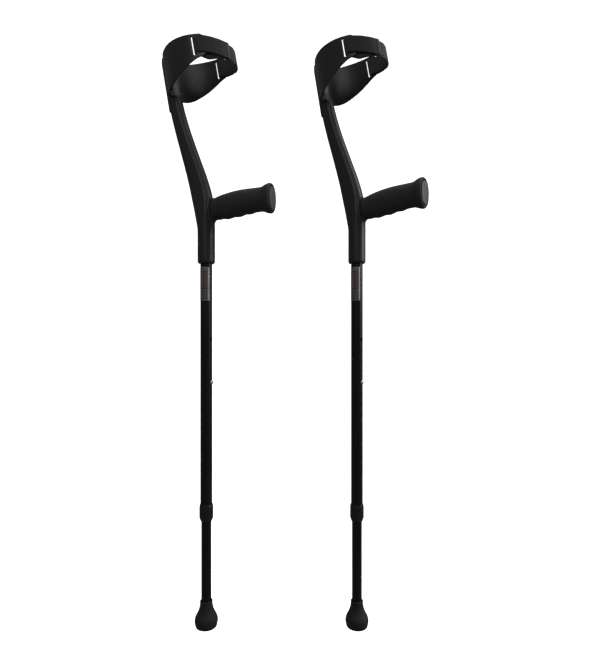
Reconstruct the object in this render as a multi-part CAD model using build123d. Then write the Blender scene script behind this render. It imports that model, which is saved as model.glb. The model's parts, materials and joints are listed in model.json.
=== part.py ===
"""A pair of height-adjustable forearm crutches with closed strap cuffs.

Each crutch is drawn in its own frame: the tube stands on the Z axis, the floor is Z = 0 and the
handle points along +X. Both are then turned to their headings, set side by side along X, and
moved so that the origin is the middle of the left handle's grip.
"""
from build123d import *
import os
from math import cos, radians, sin, tan

# ---- driving dimensions, millimetres and degrees ----
PAIR_SPACING = 283.0  # between the two tubes' axes
LEFT_HEADING = -19.4  # direction of the left handle, turned from +X
RIGHT_HEADING = -36.5

# lower leg
LEG_DIAMETER = 18.6
LEG_WALL = 1.3
LEG_BOTTOM = 15.5
LEG_TOP = 520.0
SLIDE_CLEARANCE = 0.2  # between the leg and the outer tube, all round
BUSH_CLEARANCE = 0.05
BUSH_HEAD = 6.0
BUSH_SPIGOT = 14.0
BUSH_BORE = 4.5  # radius
FIT_GAP = 0.05  # between parts that are pushed together

# outer tube
TUBE_WALL = 1.5
TUBE_BOTTOM = 206.0
TUBE_TOP = 788.0
BUTTON_HEIGHT = 458.0
HOLE_PITCH = 20.0
HOLES_BELOW = 8
HOLES_ABOVE = 4
HOLE_DIAMETER = 8.0
BUTTON_CLEARANCE = 0.1
BUTTON_STAND = 1.9  # how far the button stands out of the outer tube
BUTTON_ROUND = 1.6
FLANGE_THICKNESS = 1.3  # of the button's inner rim
FLANGE_LIP = 1.0
FLANGE_CLEARANCE = 0.62  # between the rim and the leg's bore
SPRING_THICKNESS = 0.6
SPRING_WIDTH = 7.0
SPRING_LENGTH = 46.0
SPRING_BEND = 2.4
SPRING_BACK_GAP = 1.2
LEAF_RISE = 5.0  # of the leaf above the button's axis
LEAF_START = 6.0  # above the clip's lowest point
HEEL_OVERLAP_GAP = 0.4  # between the heel's front end and the leaf
HEEL_TOP_DROP = 6.0

# collar at the bottom of the outer tube
COLLAR_WALL = 1.9
COLLAR_BOTTOM = 198.0
COLLAR_HEIGHT = 31.5
COLLAR_TAPER = 6.0
COLLAR_CHAMFER = 4.5
COLLAR_LIP = 1.1  # end of the taper, beyond the leg's radius
COLLAR_EDGE = 0.7  # width of the top rim

# rubber foot: radius beyond the leg's, height
FOOT_SIDE = ((1.1, 49.0), (3.9, 39.0), (6.1, 29.0), (8.7, 23.4),
             (11.5, 17.0), (12.4, 11.5), (11.4, 4.6), (8.3, 0.0))
TREAD_DEPTH = 2.2
TREAD_RING = 2.4
TREAD_RADII = (5.6, 10.4)
WASHER_THICKNESS = 1.5

# label on the side of the outer tube
LABEL_BOTTOM = 611.0
LABEL_HEIGHT = 62.0
LABEL_ARC = 118.0  # degrees round the tube
LABEL_THICKNESS = 0.25

# one-piece handle frame: sleeve, arm and grip core
SLEEVE_WALL = 5.25
SLEEVE_BOTTOM = 680.0
SLEEVE_ROUND = 4.0
PLUG_HEAD = 3.0
PLUG_LENGTH = 14.0
PLUG_WALL = 3.0
PLUG_FLOOR = 2.0
SCREW_HEIGHT = 705.0
GRIP_ROOT = 21.0  # where the soft grip starts
CORE_END = 119.0
CORE_HEIGHT = 24.0
CORE_WIDTH = 18.0
CORE_ROUND = 4.0
NECK_START = (2.0, 779.5, 44.0, 29.0)  # X, centre height, height, width
WEB_SIDE = ((8.0, 730.0), (15.65, 740.0), (17.4, 752.0),
            (20.95, 765.0), (20.95, 775.0), (8.0, 775.0))
WEB_WIDTH = 15.0
# arm stations: height, centre X, lean back, depth, width, corner bevel
ARM_STATIONS = (
    (744.0, 0.0, 0.0, 32.0, 32.0, 9.2),
    (774.0, -3.0, 8.0, 36.0, 30.5, 8.4),
    (804.0, -8.6, 13.0, 39.0, 27.0, 7.4),
    (837.0, -17.6, 17.5, 36.6, 25.0, 6.6),
    (870.0, -28.6, 19.0, 33.0, 24.0, 6.2),
    (902.0, -39.6, 19.0, 30.0, 23.4, 6.0),
    (935.0, -50.6, 17.5, 27.6, 23.0, 5.8),
    (968.0, -60.4, 15.5, 25.8, 22.6, 5.6),
    (1001.0, -68.4, 12.5, 24.0, 22.2, 5.4),
)
ARM_EDGE = 2.2  # rounding of the arm's bevel edges
SPINE_THICKNESS = 5.2
SPINE_WIDTH = 21.0
SPINE_TOP = 1081.0
SPINE_ROUND = 2.0
SPINE_ROOT = 979.0  # height at which it leaves the arm
SPINE_BLEND = 34.0  # height over which it thins to its full reach
SPINE_SINK = 3.0  # of its foot into the arm

# soft grip: X, centre height, full height, full width
GRIP_STATIONS = (
    (GRIP_ROOT, 781.5, 41.0, 32.0),
    (34.0, 783.5, 45.0, 34.0),
    (50.0, 785.6, 47.4, 35.6),
    (68.0, 787.8, 48.0, 36.0),
    (86.0, 789.6, 46.4, 35.4),
    (102.0, 790.8, 44.6, 34.0),
    (116.0, 791.6, 45.2, 33.6),
    (124.5, 792.0, 52.0, 37.4),
    (130.0, 792.0, 54.4, 39.2),
    (134.0, 792.0, 51.6, 36.6),
)
GRIP_MIDDLE_STATION = 3
GRIP_SLOPE = 5.5  # degrees, rise of the handle's axis
CAP_RECESS = 4.5
CAP_HEIGHT = 44.4
CAP_WIDTH = 30.2
CAP_GAP = 1.3
CAP_ROUND = 1.0
CAP_PROUD = 1.2

# arm cuff: a leaning oval band, open at the front
CUFF_REFERENCE = 1086.0  # height at which the plan sizes below hold
CUFF_LEAN = 10.5
CUFF_CENTRE = -19.4
CUFF_HALF_LENGTH = 72.0
CUFF_HALF_WIDTH = 47.5
CUFF_WALL = 3.0
CUFF_TOP_EDGE = ((-110.0, 1069.0), (-88.0, 1075.0), (-58.0, 1083.0), (-28.0, 1086.3), (0.0, 1087.0))
CUFF_LOW_EDGE = ((8.0, 1043.6), (-2.0, 1037.8), (-20.0, 1026.0), (-36.0, 1016.0), (-48.0, 1008.6),
                 (-58.0, 1004.4), (-70.0, 1002.9), (-86.0, 1002.5), (-110.0, 1002.4))
CUFF_ROOM_LOW = 1003.0  # the frame is cut back round the cuff from here up
CUFF_ROOM_HIGH = 1097.0
CUFF_ROOM_SPAN = (-105.0, -15.0)  # X
CUFF_ROOM_WIDTH = 60.0
CUFF_TIP = 20.0  # X of the tips at the slots' middle height
CUFF_TIP_HIGH = 1086.5
CUFF_TIP_LOW = 1047.0
CUFF_TIP_ROUND = 7.0
SLOT_HEIGHT = 1065.5
SLOT_LENGTH = 35.0
SLOT_WIDTH = 4.9
SLOT_FRONT = 2.0  # X of the slot's front edge
CUFF_SCREW_HEIGHTS = (1024.0, 1056.0)

# strap
STRAP_THICKNESS = 1.8
STRAP_WIDTH = 31.0
STRAP_GAP = 0.4
STRAP_FRONT = 53.6
STRAP_PLAN = ((30.0, 0.686), (41.0, 0.556), (49.6, 0.324))  # X, share of the cuff's half width
STRAP_INNER_LEG = (8.0, 16.0)  # X at which it still follows the inner wall
FAR_LEG = (4.0, 12.0, 18.0)  # X at which the far end follows the outer wall
TAB_LEG = (8.0, 15.0)  # X at which the tab follows the outer wall
FAR_END_STEPS = (0.70, 0.665)  # where the far leg comes to rest on the strap, along its middle line
FAR_END_GAP = 0.1
STRAP_NEAR_SIDE = ((-20.0, 1066.5), (4.0, 1064.9), (12.0, 1061.0), (22.0, 1056.8),
                   (36.0, 1057.2), (50.0, 1059.0), (80.0, 1059.0))
STRAP_FAR_SIDE = ((-20.0, 1066.5), (4.0, 1065.5), (22.0, 1063.5), (50.0, 1059.0), (80.0, 1059.0))
TAB_SIDE = ((-20.0, 1067.0), (14.0, 1068.5), (58.0, 1059.0))
TAB_START = 1.6
TAB_STEPS = (0.265, 0.335, 0.40)  # the tab's run over the strap, along the strap's middle line
TAB_LOOSENESS = 0.6
PATCH_THICKNESS = 0.7
PATCH_MARGIN = 2.5
HOOK_RUN = (0.6, 0.97)  # along the tab
LOOP_RUN = (0.225, 0.45)  # along the strap

# screws
CUFF_SCREW_DIAMETER = 5.0
CUFF_HEAD_DIAMETER = 10.0
CUFF_HEAD_HEIGHT = 2.2
CUFF_HEAD_ROUND = 1.2
CUFF_HEAD_STAND = 0.55  # clear of the curved wall
NUT_FLATS = 8.0
NUT_HEIGHT = 2.6
NUT_SINK = 2.2
GRIP_SCREW_DIAMETER = 6.0
GRIP_SCREW_LENGTH = 34.0
SLEEVE_SCREW_DIAMETER = 3.5
SLEEVE_HEAD_DIAMETER = 7.0
SLEEVE_HEAD_HEIGHT = 2.0
SLEEVE_SCREW_REACH = 2.5  # into the outer tube's bore
CROSS_DEPTH = 1.4
CROSS_LENGTH = 4.0
CROSS_WIDTH = 0.9
SCREW_SINK = 2.6
GRIP_HEAD_RADIUS = 5.2
GRIP_HEAD_HEIGHT = 3.6
GRIP_HEX_FLATS = 5.0
GRIP_HEAD_ROOM = 0.4
SLOT_END_FLAT = 0.3
NUT_FIT = 0.01

# ---- sizes worked out from them ----
LEG_RADIUS = LEG_DIAMETER / 2
TUBE_BORE_RADIUS = LEG_RADIUS + SLIDE_CLEARANCE
TUBE_RADIUS = TUBE_BORE_RADIUS + TUBE_WALL
COLLAR_TOP = COLLAR_BOTTOM + COLLAR_HEIGHT
COLLAR_RADIUS = TUBE_RADIUS + COLLAR_WALL
SLEEVE_RADIUS = TUBE_RADIUS + SLEEVE_WALL
HOLE_RADIUS = HOLE_DIAMETER / 2
BUTTON_RADIUS = HOLE_RADIUS - BUTTON_CLEARANCE
FLANGE_RADIUS = BUTTON_RADIUS + FLANGE_LIP
LEG_BORE_RADIUS = LEG_RADIUS - LEG_WALL
FLANGE_BACK = (LEG_BORE_RADIUS**2 - FLANGE_RADIUS**2) ** 0.5 - FLANGE_THICKNESS - FLANGE_CLEARANCE
SHEAR = tan(radians(CUFF_LEAN))
CUFF_HIGH = 1100.0
CUFF_FULL_DROP = 110.0
GRIP_MIDDLE_X, GRIP_MIDDLE_Z = GRIP_STATIONS[GRIP_MIDDLE_STATION][:2]
GRIP_MIDDLE = Vector(GRIP_MIDDLE_X, 0.0, GRIP_MIDDLE_Z)
SLOT_LOCAL = SLOT_FRONT - (CUFF_REFERENCE - SLOT_HEIGHT) * SHEAR
TURN_X = SLOT_LOCAL - STRAP_GAP - STRAP_THICKNESS / 2
TAB_OFFSET = STRAP_THICKNESS + 2 * PATCH_THICKNESS + TAB_LOOSENESS
UP = (Align.CENTER, Align.CENTER, Align.MIN)


def disc(radius, low, high):
    return Pos(0, 0, low) * Cylinder(radius, high - low, align=UP)


def ring(outer, inner, low, high):
    return disc(outer, low, high) - disc(inner, low - 1, high + 1)


def along(radius, start, direction, length):
    """A round bar from start along a direction."""
    return Plane(origin=start, z_dir=direction) * Cylinder(radius, length, align=UP)


def turned(profile):
    """A solid of revolution from (radius, height) points joined by straight lines."""
    outline = Polyline(*[(radius, 0, height) for radius, height in profile], close=True)
    return revolve(make_face(outline), Axis.Z, 360)


# ---- lower leg ----
def make_foot():
    points = [(LEG_RADIUS + out, 0, height) for out, height in FOOT_SIDE]
    height = FOOT_SIDE[0][1]
    floor = Line(points[-1], (0, 0, 0))
    middle = Line((0, 0, 0), (0, 0, height))
    top = Line((0, 0, height), points[0])
    body = revolve(make_face(Spline(*points) + floor + middle + top), Axis.Z, 360)
    socket = disc(LEG_RADIUS + FIT_GAP, LEG_BOTTOM - WASHER_THICKNESS, height + 1)
    for inner in TREAD_RADII:
        body -= ring(inner + TREAD_RING, inner, -1, TREAD_DEPTH)
    return body - socket


def make_foot_washer():
    return disc(LEG_RADIUS, LEG_BOTTOM - WASHER_THICKNESS, LEG_BOTTOM)


def make_leg_tube():
    tube = ring(LEG_RADIUS, LEG_BORE_RADIUS, LEG_BOTTOM, LEG_TOP)
    return tube - along(HOLE_RADIUS, (0, 0, BUTTON_HEIGHT), (1, 0, 0), LEG_RADIUS + 2)


def make_leg_bush():
    head = disc(TUBE_BORE_RADIUS - BUSH_CLEARANCE, LEG_TOP, LEG_TOP + BUSH_HEAD)
    spigot = disc(LEG_BORE_RADIUS - FIT_GAP, LEG_TOP - BUSH_SPIGOT, LEG_TOP)
    return head + spigot - disc(BUSH_BORE, LEG_TOP - BUSH_SPIGOT - 1, LEG_TOP + BUSH_HEAD + 1)


def make_snap_button():
    start = (FLANGE_BACK, 0, BUTTON_HEIGHT)
    stem = along(BUTTON_RADIUS, start, (1, 0, 0), TUBE_RADIUS + BUTTON_STAND - FLANGE_BACK)
    stem = fillet(stem.edges().filter_by(GeomType.CIRCLE).sort_by(Axis.X)[-1], BUTTON_ROUND)
    return stem + along(FLANGE_RADIUS, start, (1, 0, 0), FLANGE_THICKNESS)


def make_button_leaf():
    """The sprung arm of the V clip, which carries the button."""
    low = BUTTON_HEIGHT - SPRING_LENGTH + LEAF_START
    high = BUTTON_HEIGHT + LEAF_RISE
    leaf = Box(SPRING_THICKNESS, SPRING_WIDTH, high - low, align=(Align.MAX, Align.CENTER, Align.MIN))
    return Pos(FLANGE_BACK, 0, low) * leaf


def make_spring_heel():
    """The bend of the V clip and the arm that bears on the far wall."""
    low = BUTTON_HEIGHT - SPRING_LENGTH
    front = FLANGE_BACK - SPRING_THICKNESS / 2
    back = -LEG_BORE_RADIUS + SPRING_BACK_GAP
    top = low + LEAF_START - HEEL_OVERLAP_GAP
    corners = ((front, 0, top), (front, 0, low), (back, 0, low), (back, 0, BUTTON_HEIGHT - HEEL_TOP_DROP))
    path = FilletPolyline(*corners, radius=SPRING_BEND)
    start = Plane(origin=path @ 0, z_dir=path % 0, x_dir=(0, 1, 0))
    return sweep(start * Rectangle(SPRING_WIDTH, SPRING_THICKNESS), path=path)


# ---- outer tube ----
def make_outer_tube():
    tube = ring(TUBE_RADIUS, TUBE_BORE_RADIUS, TUBE_BOTTOM, TUBE_TOP)
    for step in range(-HOLES_BELOW, HOLES_ABOVE + 1):
        height = BUTTON_HEIGHT + step * HOLE_PITCH
        tube -= along(HOLE_RADIUS, (0, 0, height), (1, 0, 0), TUBE_RADIUS + 2)
    return tube - sleeve_screw_hole()


def make_collar():
    bore = LEG_RADIUS + BUTTON_CLEARANCE
    seat = TUBE_RADIUS + FIT_GAP
    return turned((
        (bore, COLLAR_BOTTOM), (LEG_RADIUS + COLLAR_LIP, COLLAR_BOTTOM),
        (COLLAR_RADIUS, COLLAR_BOTTOM + COLLAR_TAPER), (COLLAR_RADIUS, COLLAR_TOP - COLLAR_CHAMFER),
        (seat + COLLAR_EDGE, COLLAR_TOP), (seat, COLLAR_TOP), (seat, TUBE_BOTTOM), (bore, TUBE_BOTTOM)))


def make_label():
    band = ring(TUBE_RADIUS + LABEL_THICKNESS, TUBE_RADIUS, LABEL_BOTTOM, LABEL_BOTTOM + LABEL_HEIGHT)
    reach = TUBE_RADIUS * 4
    half = radians(LABEL_ARC / 2)
    corner = (reach * sin(half), -reach * cos(half))
    wedge = make_face(Polyline((0, 0), corner, (0, -reach * 2), (-corner[0], corner[1]), close=True))
    return band & (Pos(0, 0, LABEL_BOTTOM) * extrude(wedge, LABEL_HEIGHT))


def make_tube_plug():
    head = disc(TUBE_RADIUS, TUBE_TOP, TUBE_TOP + PLUG_HEAD)
    spigot = disc(TUBE_BORE_RADIUS - FIT_GAP, TUBE_TOP - PLUG_LENGTH, TUBE_TOP)
    hollow = disc(TUBE_BORE_RADIUS - PLUG_WALL, TUBE_TOP - PLUG_LENGTH - 1, TUBE_TOP - PLUG_FLOOR)
    return head + spigot - hollow


# ---- handle frame ----
def sleeve_screw_hole():
    return along(SLEEVE_SCREW_DIAMETER / 2, (0, 0, SCREW_HEIGHT), (-1, 0, 0), SLEEVE_RADIUS + 2)


def make_sleeve_screw():
    face = SLEEVE_RADIUS - SCREW_SINK
    start = TUBE_BORE_RADIUS - SLEEVE_SCREW_REACH
    shank = along(SLEEVE_SCREW_DIAMETER / 2 - FIT_GAP, (-start, 0, SCREW_HEIGHT), (-1, 0, 0), face - start)
    head = along(SLEEVE_HEAD_DIAMETER / 2, (-face, 0, SCREW_HEIGHT), (-1, 0, 0), SLEEVE_HEAD_HEIGHT)
    cross = Box(CROSS_DEPTH, CROSS_LENGTH, CROSS_WIDTH) + Box(CROSS_DEPTH, CROSS_WIDTH, CROSS_LENGTH)
    return shank + head - Pos(-face - SLEEVE_HEAD_HEIGHT, 0, SCREW_HEIGHT) * cross


def arm_section(height, x, lean, depth, width, bevel):
    tilt = radians(lean)
    across = (cos(tilt), 0, sin(tilt))
    plane = Plane(origin=(x, 0, height), x_dir=across, z_dir=(-sin(tilt), 0, cos(tilt)))
    a = depth / 2
    b = width / 2
    corners = ((a, b - bevel), (a - bevel, b), (bevel - a, b), (-a, b - bevel),
               (-a, bevel - b), (bevel - a, -b), (a - bevel, -b), (a, bevel - b))
    face = make_face(Polyline(*corners, close=True))
    return plane * fillet(face.vertices(), ARM_EDGE)


def cuff_back(height, offset=0.0):
    """X of the cuff's outer back, or offset behind it, at a height."""
    return CUFF_CENTRE - CUFF_HALF_LENGTH + (CUFF_REFERENCE - height) * SHEAR - offset


def side_prism(face):
    """A shape drawn in the XZ plane, made 200 mm thick."""
    return extrude(face, 100, both=True)


def make_spine():
    """The tongue of the arm that stands up behind the cuff."""
    foot = SPINE_ROOT
    outline = Polyline(
        (cuff_back(foot, SPINE_THICKNESS) + SPINE_SINK, 0, foot), (cuff_back(foot, STRAP_GAP), 0, foot),
        (cuff_back(SPINE_TOP, STRAP_GAP), 0, SPINE_TOP),
        (cuff_back(SPINE_TOP, SPINE_THICKNESS), 0, SPINE_TOP),
        (cuff_back(foot + SPINE_BLEND, SPINE_THICKNESS), 0, foot + SPINE_BLEND), close=True)
    tongue = extrude(make_face(outline), SPINE_WIDTH / 2, both=True)
    top_edges = tongue.edges().filter_by(Axis.Y).sort_by(Axis.Z)[-2:]
    return fillet(top_edges, SPINE_ROUND) - sheared(oval(STRAP_GAP))


def oval(grow):
    """The cuff's outer plan, grown by an amount."""
    return Pos(CUFF_CENTRE, 0) * Ellipse(CUFF_HALF_LENGTH + grow, CUFF_HALF_WIDTH + grow)


def sheared(face):
    """A plan shape, given at the cuff's reference height, swept down along the cuff's lean."""
    start = Pos(-(CUFF_HIGH - CUFF_REFERENCE) * SHEAR, 0, CUFF_HIGH)
    down = (sin(radians(CUFF_LEAN)), 0, -cos(radians(CUFF_LEAN)))
    return extrude(start * face, CUFF_FULL_DROP / cos(radians(CUFF_LEAN)), dir=down)


def grip_section(x, height, tall, wide, shrink=0.0):
    plane = Plane(origin=(x, 0, height), x_dir=(0, 1, 0), z_dir=(1, 0, 0))
    return plane * Ellipse(wide / 2 - shrink, tall / 2 - shrink)


def grip_axis_plane(x):
    """A plane square to the handle's axis at X."""
    height = GRIP_MIDDLE.Z + (x - GRIP_MIDDLE.X) * tan(radians(GRIP_SLOPE))
    tilt = radians(GRIP_SLOPE)
    return Plane(origin=(x, 0, height), x_dir=(0, 1, 0), z_dir=(cos(tilt), 0, sin(tilt)))


def make_core():
    start = grip_axis_plane(0)
    section = start * RectangleRounded(CORE_WIDTH, CORE_HEIGHT, CORE_ROUND)
    return extrude(section, CORE_END / cos(radians(GRIP_SLOPE)))


def make_root():
    """The neck that carries the grip, down to the sleeve's front."""
    last = grip_section(GRIP_ROOT - FIT_GAP, *GRIP_STATIONS[0][1:])
    neck = loft([grip_section(*NECK_START), last])
    web = make_face(Polyline(*[(x, 0, z) for x, z in WEB_SIDE], close=True))
    return neck + extrude(web, WEB_WIDTH / 2, both=True)


def cuff_room():
    """The block in which the frame gives way to the cuff, above the arm."""
    back, front = CUFF_ROOM_SPAN
    block = Box(front - back, CUFF_ROOM_WIDTH, CUFF_ROOM_HIGH - CUFF_ROOM_LOW, align=UP)
    return Pos((back + front) / 2, 0, CUFF_ROOM_LOW) * block


def make_handle_frame():
    sleeve = disc(SLEEVE_RADIUS, SLEEVE_BOTTOM, ARM_STATIONS[0][0] + 4)
    sleeve = fillet(sleeve.edges().sort_by(Axis.Z)[0], SLEEVE_ROUND)
    arm = loft([arm_section(*station) for station in ARM_STATIONS])
    frame = sleeve + arm + make_root() + make_core() + make_spine()
    frame -= sheared(oval(STRAP_GAP)) & cuff_room()
    frame -= disc(TUBE_RADIUS + FIT_GAP, SLEEVE_BOTTOM - 1, TUBE_TOP + PLUG_HEAD + FIT_GAP)
    frame -= sleeve_screw_hole()
    counterbore = SLEEVE_HEAD_DIAMETER / 2 + FIT_GAP
    frame -= along(counterbore, (-SLEEVE_RADIUS + SCREW_SINK, 0, SCREW_HEIGHT), (-1, 0, 0), 8)
    frame -= grip_screw_bar(FIT_GAP)
    for height in CUFF_SCREW_HEIGHTS:
        frame -= cuff_screw_bar(height, CUFF_SCREW_DIAMETER / 2 + FIT_GAP)
        frame -= cuff_nut(height, FIT_GAP, 12)
    return frame


# ---- grip ----
def grip_screw_bar(grow):
    plane = grip_axis_plane(CORE_END - GRIP_SCREW_LENGTH)
    return plane * Cylinder(GRIP_SCREW_DIAMETER / 2 + grow, GRIP_SCREW_LENGTH + 6, align=UP)


def make_grip_sleeve():
    body = loft([grip_section(*station) for station in GRIP_STATIONS])
    recess_start = GRIP_STATIONS[-1][0] - CAP_RECESS
    recess = grip_section(recess_start, GRIP_STATIONS[-1][1], CAP_HEIGHT, CAP_WIDTH)
    body -= extrude(recess, CAP_RECESS + 2)
    hole = RectangleRounded(CORE_WIDTH + 2 * FIT_GAP, CORE_HEIGHT + 2 * FIT_GAP, CORE_ROUND)
    core_hole = grip_axis_plane(0) * hole
    body -= extrude(core_hole, (CORE_END + FIT_GAP) / cos(radians(GRIP_SLOPE)))
    head_room = grip_axis_plane(CORE_END) * Cylinder(GRIP_HEAD_RADIUS + GRIP_HEAD_ROOM, CORE_END, align=UP)
    return body - head_room


def make_grip_cap():
    start = GRIP_STATIONS[-1][0] - CAP_RECESS + FIT_GAP
    section = grip_section(start, GRIP_STATIONS[-1][1], CAP_HEIGHT, CAP_WIDTH, CAP_GAP)
    plate = extrude(section, CAP_RECESS + CAP_PROUD)
    rim = plate.edges().sort_by(Axis.X)[-1]
    return fillet(rim, CAP_ROUND)


def make_grip_screw():
    plane = grip_axis_plane(CORE_END - GRIP_SCREW_LENGTH)
    length = GRIP_SCREW_LENGTH / cos(radians(GRIP_SLOPE)) + FIT_GAP
    shank = plane * Cylinder(GRIP_SCREW_DIAMETER / 2, length, align=UP)
    top = grip_axis_plane(CORE_END)
    head = top * Cylinder(GRIP_HEAD_RADIUS, GRIP_HEAD_HEIGHT, align=UP)
    hexagon = RegularPolygon(GRIP_HEX_FLATS / 2, 6, major_radius=False)
    socket = top * Pos(0, 0, GRIP_HEAD_HEIGHT / 3) * extrude(hexagon, GRIP_HEAD_HEIGHT)
    return shank + head - socket


# ---- cuff ----
def cuff_screw_axis(height, offset):
    """A point on a screw's axis, offset behind the cuff's outer back, and its forward direction."""
    lean = radians(CUFF_LEAN)
    start = (cuff_back(height) - offset * cos(lean), 0, height - offset * sin(lean))
    return start, (cos(lean), 0, sin(lean))


def cuff_screw_bar(height, radius):
    start, direction = cuff_screw_axis(height, 14)
    return along(radius, start, direction, 24)


def cuff_nut(height, grow, depth):
    start, direction = cuff_screw_axis(height, SPINE_THICKNESS - NUT_SINK)
    plane = Plane(origin=start, z_dir=(-direction[0], 0, -direction[2]), x_dir=(0, 1, 0))
    return plane * extrude(RegularPolygon(NUT_FLATS / 2 + grow, 6, major_radius=False), depth)


def make_cuff():
    wall = sheared(oval(0) - oval(-CUFF_WALL))
    top = Spline(*[(x, 0, z) for x, z in CUFF_TOP_EDGE])
    low = Spline(*[(x, 0, z) for x, z in CUFF_LOW_EDGE])
    low_tip = (CUFF_TIP + (SLOT_HEIGHT - CUFF_TIP_LOW) * SHEAR, 0, CUFF_TIP_LOW)
    high_tip = (CUFF_TIP + (SLOT_HEIGHT - CUFF_TIP_HIGH) * SHEAR, 0, CUFF_TIP_HIGH)
    front = Polyline(top @ 1, high_tip, low_tip, low @ 0)
    outline = make_face(top + front + low + Line(low @ 1, top @ 0))
    prism = side_prism(outline)
    tips = prism.edges().filter_by(Axis.Y).sort_by(Axis.X)[-2:]
    prism = fillet(tips, CUFF_TIP_ROUND)
    band = wall & prism
    lean_x = (cos(radians(CUFF_LEAN)), 0, sin(radians(CUFF_LEAN)))
    lean = Plane(origin=(SLOT_FRONT, 0, SLOT_HEIGHT), x_dir=lean_x, z_dir=(0, -1, 0))
    slot = RectangleRounded(SLOT_WIDTH, SLOT_LENGTH, SLOT_WIDTH / 2 - SLOT_END_FLAT)
    band -= extrude(lean * Pos(-SLOT_WIDTH / 2, 0) * slot, 80, both=True)
    for height in CUFF_SCREW_HEIGHTS:
        band -= cuff_screw_bar(height, CUFF_SCREW_DIAMETER / 2 + FIT_GAP)
    return band


def make_cuff_screws():
    screws = []
    screw_length = CUFF_HEAD_STAND + CUFF_WALL + SPINE_THICKNESS - NUT_SINK + NUT_HEIGHT
    for height in CUFF_SCREW_HEIGHTS:
        start, direction = cuff_screw_axis(height, -CUFF_WALL - CUFF_HEAD_STAND)
        back = (-direction[0], 0, -direction[2])
        shank = along(CUFF_SCREW_DIAMETER / 2, start, back, screw_length)
        head = along(CUFF_HEAD_DIAMETER / 2, start, direction, CUFF_HEAD_HEIGHT)
        head = fillet(head.edges().sort_by(Axis.X)[-1], CUFF_HEAD_ROUND)
        screws.append(shank + head)
    return Compound(children=screws)


def make_cuff_nuts():
    nuts = []
    for height in CUFF_SCREW_HEIGHTS:
        nut = cuff_nut(height, 0, NUT_HEIGHT)
        nuts.append(nut - cuff_screw_bar(height, CUFF_SCREW_DIAMETER / 2 + NUT_FIT))
    return Compound(children=nuts)


# ---- strap ----
def wall_y(x, inside):
    """Half width of the cuff's outer or inner plan at X."""
    a = CUFF_HALF_LENGTH - (CUFF_WALL if inside else 0)
    b = CUFF_HALF_WIDTH - (CUFF_WALL if inside else 0)
    return b * (1 - ((x - CUFF_CENTRE) / a) ** 2) ** 0.5


def inner_leg(x):
    return wall_y(x, True) - STRAP_GAP - STRAP_THICKNESS / 2


def outer_leg(x):
    return wall_y(x, False) + STRAP_GAP + STRAP_THICKNESS / 2


def strap_line():
    """The strap's middle line in plan, from the near slot round the front to the far slot."""
    half = [(x, inner_leg(x)) for x in (TURN_X, *STRAP_INNER_LEG)]
    half += [(x, share * CUFF_HALF_WIDTH) for x, share in STRAP_PLAN]
    near = [(x, -y) for x, y in half]
    return Spline(*near, (STRAP_FRONT, 0), *reversed(half))


def strip(line, start, end, low, high, count=15):
    """A plan strip along part of a line, between two offsets to the line's outer side."""
    steps = [start + (end - start) * i / (count - 1) for i in range(count)]
    spots = [line @ step for step in steps]
    normals = [Vector((line % step).Y, -(line % step).X) for step in steps]
    first = Spline(*[spot + normal * low for spot, normal in zip(spots, normals)])
    second = Spline(*[spot + normal * high for spot, normal in zip(spots, normals)])
    return make_face(first + Line(first @ 1, second @ 1) + second + Line(second @ 0, first @ 0))


def slab(points, width):
    """The side view of a strap of a given width whose middle follows points in XZ."""
    upper = [(x, 0, z + width / 2) for x, z in points]
    lower = [(x, 0, z - width / 2) for x, z in reversed(points)]
    return side_prism(make_face(Polyline(*upper, *lower, close=True)))


def strap_slab(width):
    """The strap's side view, whose two halves slope by their own amounts and meet at the front."""
    half_space = Box(400, 200, 400, align=(Align.CENTER, Align.MAX, Align.CENTER))
    near = slab(STRAP_NEAR_SIDE, width) & Pos(0, 0, SLOT_HEIGHT) * half_space
    far = slab(STRAP_FAR_SIDE, width) & Pos(0, 200, SLOT_HEIGHT) * half_space
    return near + far


def turn_block(sign):
    """The strap's short run through a slot."""
    low = inner_leg(TURN_X) - STRAP_THICKNESS / 2
    high = outer_leg(TURN_X) + STRAP_THICKNESS / 2
    return Pos(TURN_X, sign * (low + high) / 2) * Rectangle(STRAP_THICKNESS, high - low)


def beside(line, step, offset):
    """A point off a plan line's outer side."""
    tangent = line % step
    return line @ step + Vector(tangent.Y, -tangent.X) * offset


def outer_path(xs, sign):
    return [(x, sign * outer_leg(x)) for x in xs]


def make_strap():
    line = strap_line()
    plan = strip(line, 0, 1, -STRAP_THICKNESS / 2, STRAP_THICKNESS / 2, 31)
    half = STRAP_THICKNESS / 2
    rest = [beside(line, step, STRAP_THICKNESS + FAR_END_GAP) for step in FAR_END_STEPS]
    far = Spline(*outer_path((TURN_X, *FAR_LEG), 1), *rest)
    plan += strip(far, 0, 1, -half, half)
    near = Spline(*outer_path((TURN_X, (TURN_X + TAB_START) / 2, TAB_START - STRAP_GAP), -1))
    plan += strip(near, 0, 1, -half, half)
    plan += turn_block(1)
    plan += turn_block(-1)
    return sheared(plan) & strap_slab(STRAP_WIDTH)


def tab_line():
    line = strap_line()
    over_strap = [beside(line, step, TAB_OFFSET) for step in TAB_STEPS]
    return Spline(*outer_path((TAB_START, *TAB_LEG), -1), *over_strap)


def make_strap_tab():
    half = STRAP_THICKNESS / 2
    return sheared(strip(tab_line(), 0, 1, -half, half)) & slab(TAB_SIDE, STRAP_WIDTH)


def make_hook_patch():
    low = -STRAP_THICKNESS / 2 - FIT_GAP - PATCH_THICKNESS
    strip_plan = strip(tab_line(), *HOOK_RUN, low, low + PATCH_THICKNESS)
    return sheared(strip_plan) & slab(TAB_SIDE, STRAP_WIDTH - 2 * PATCH_MARGIN)


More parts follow.
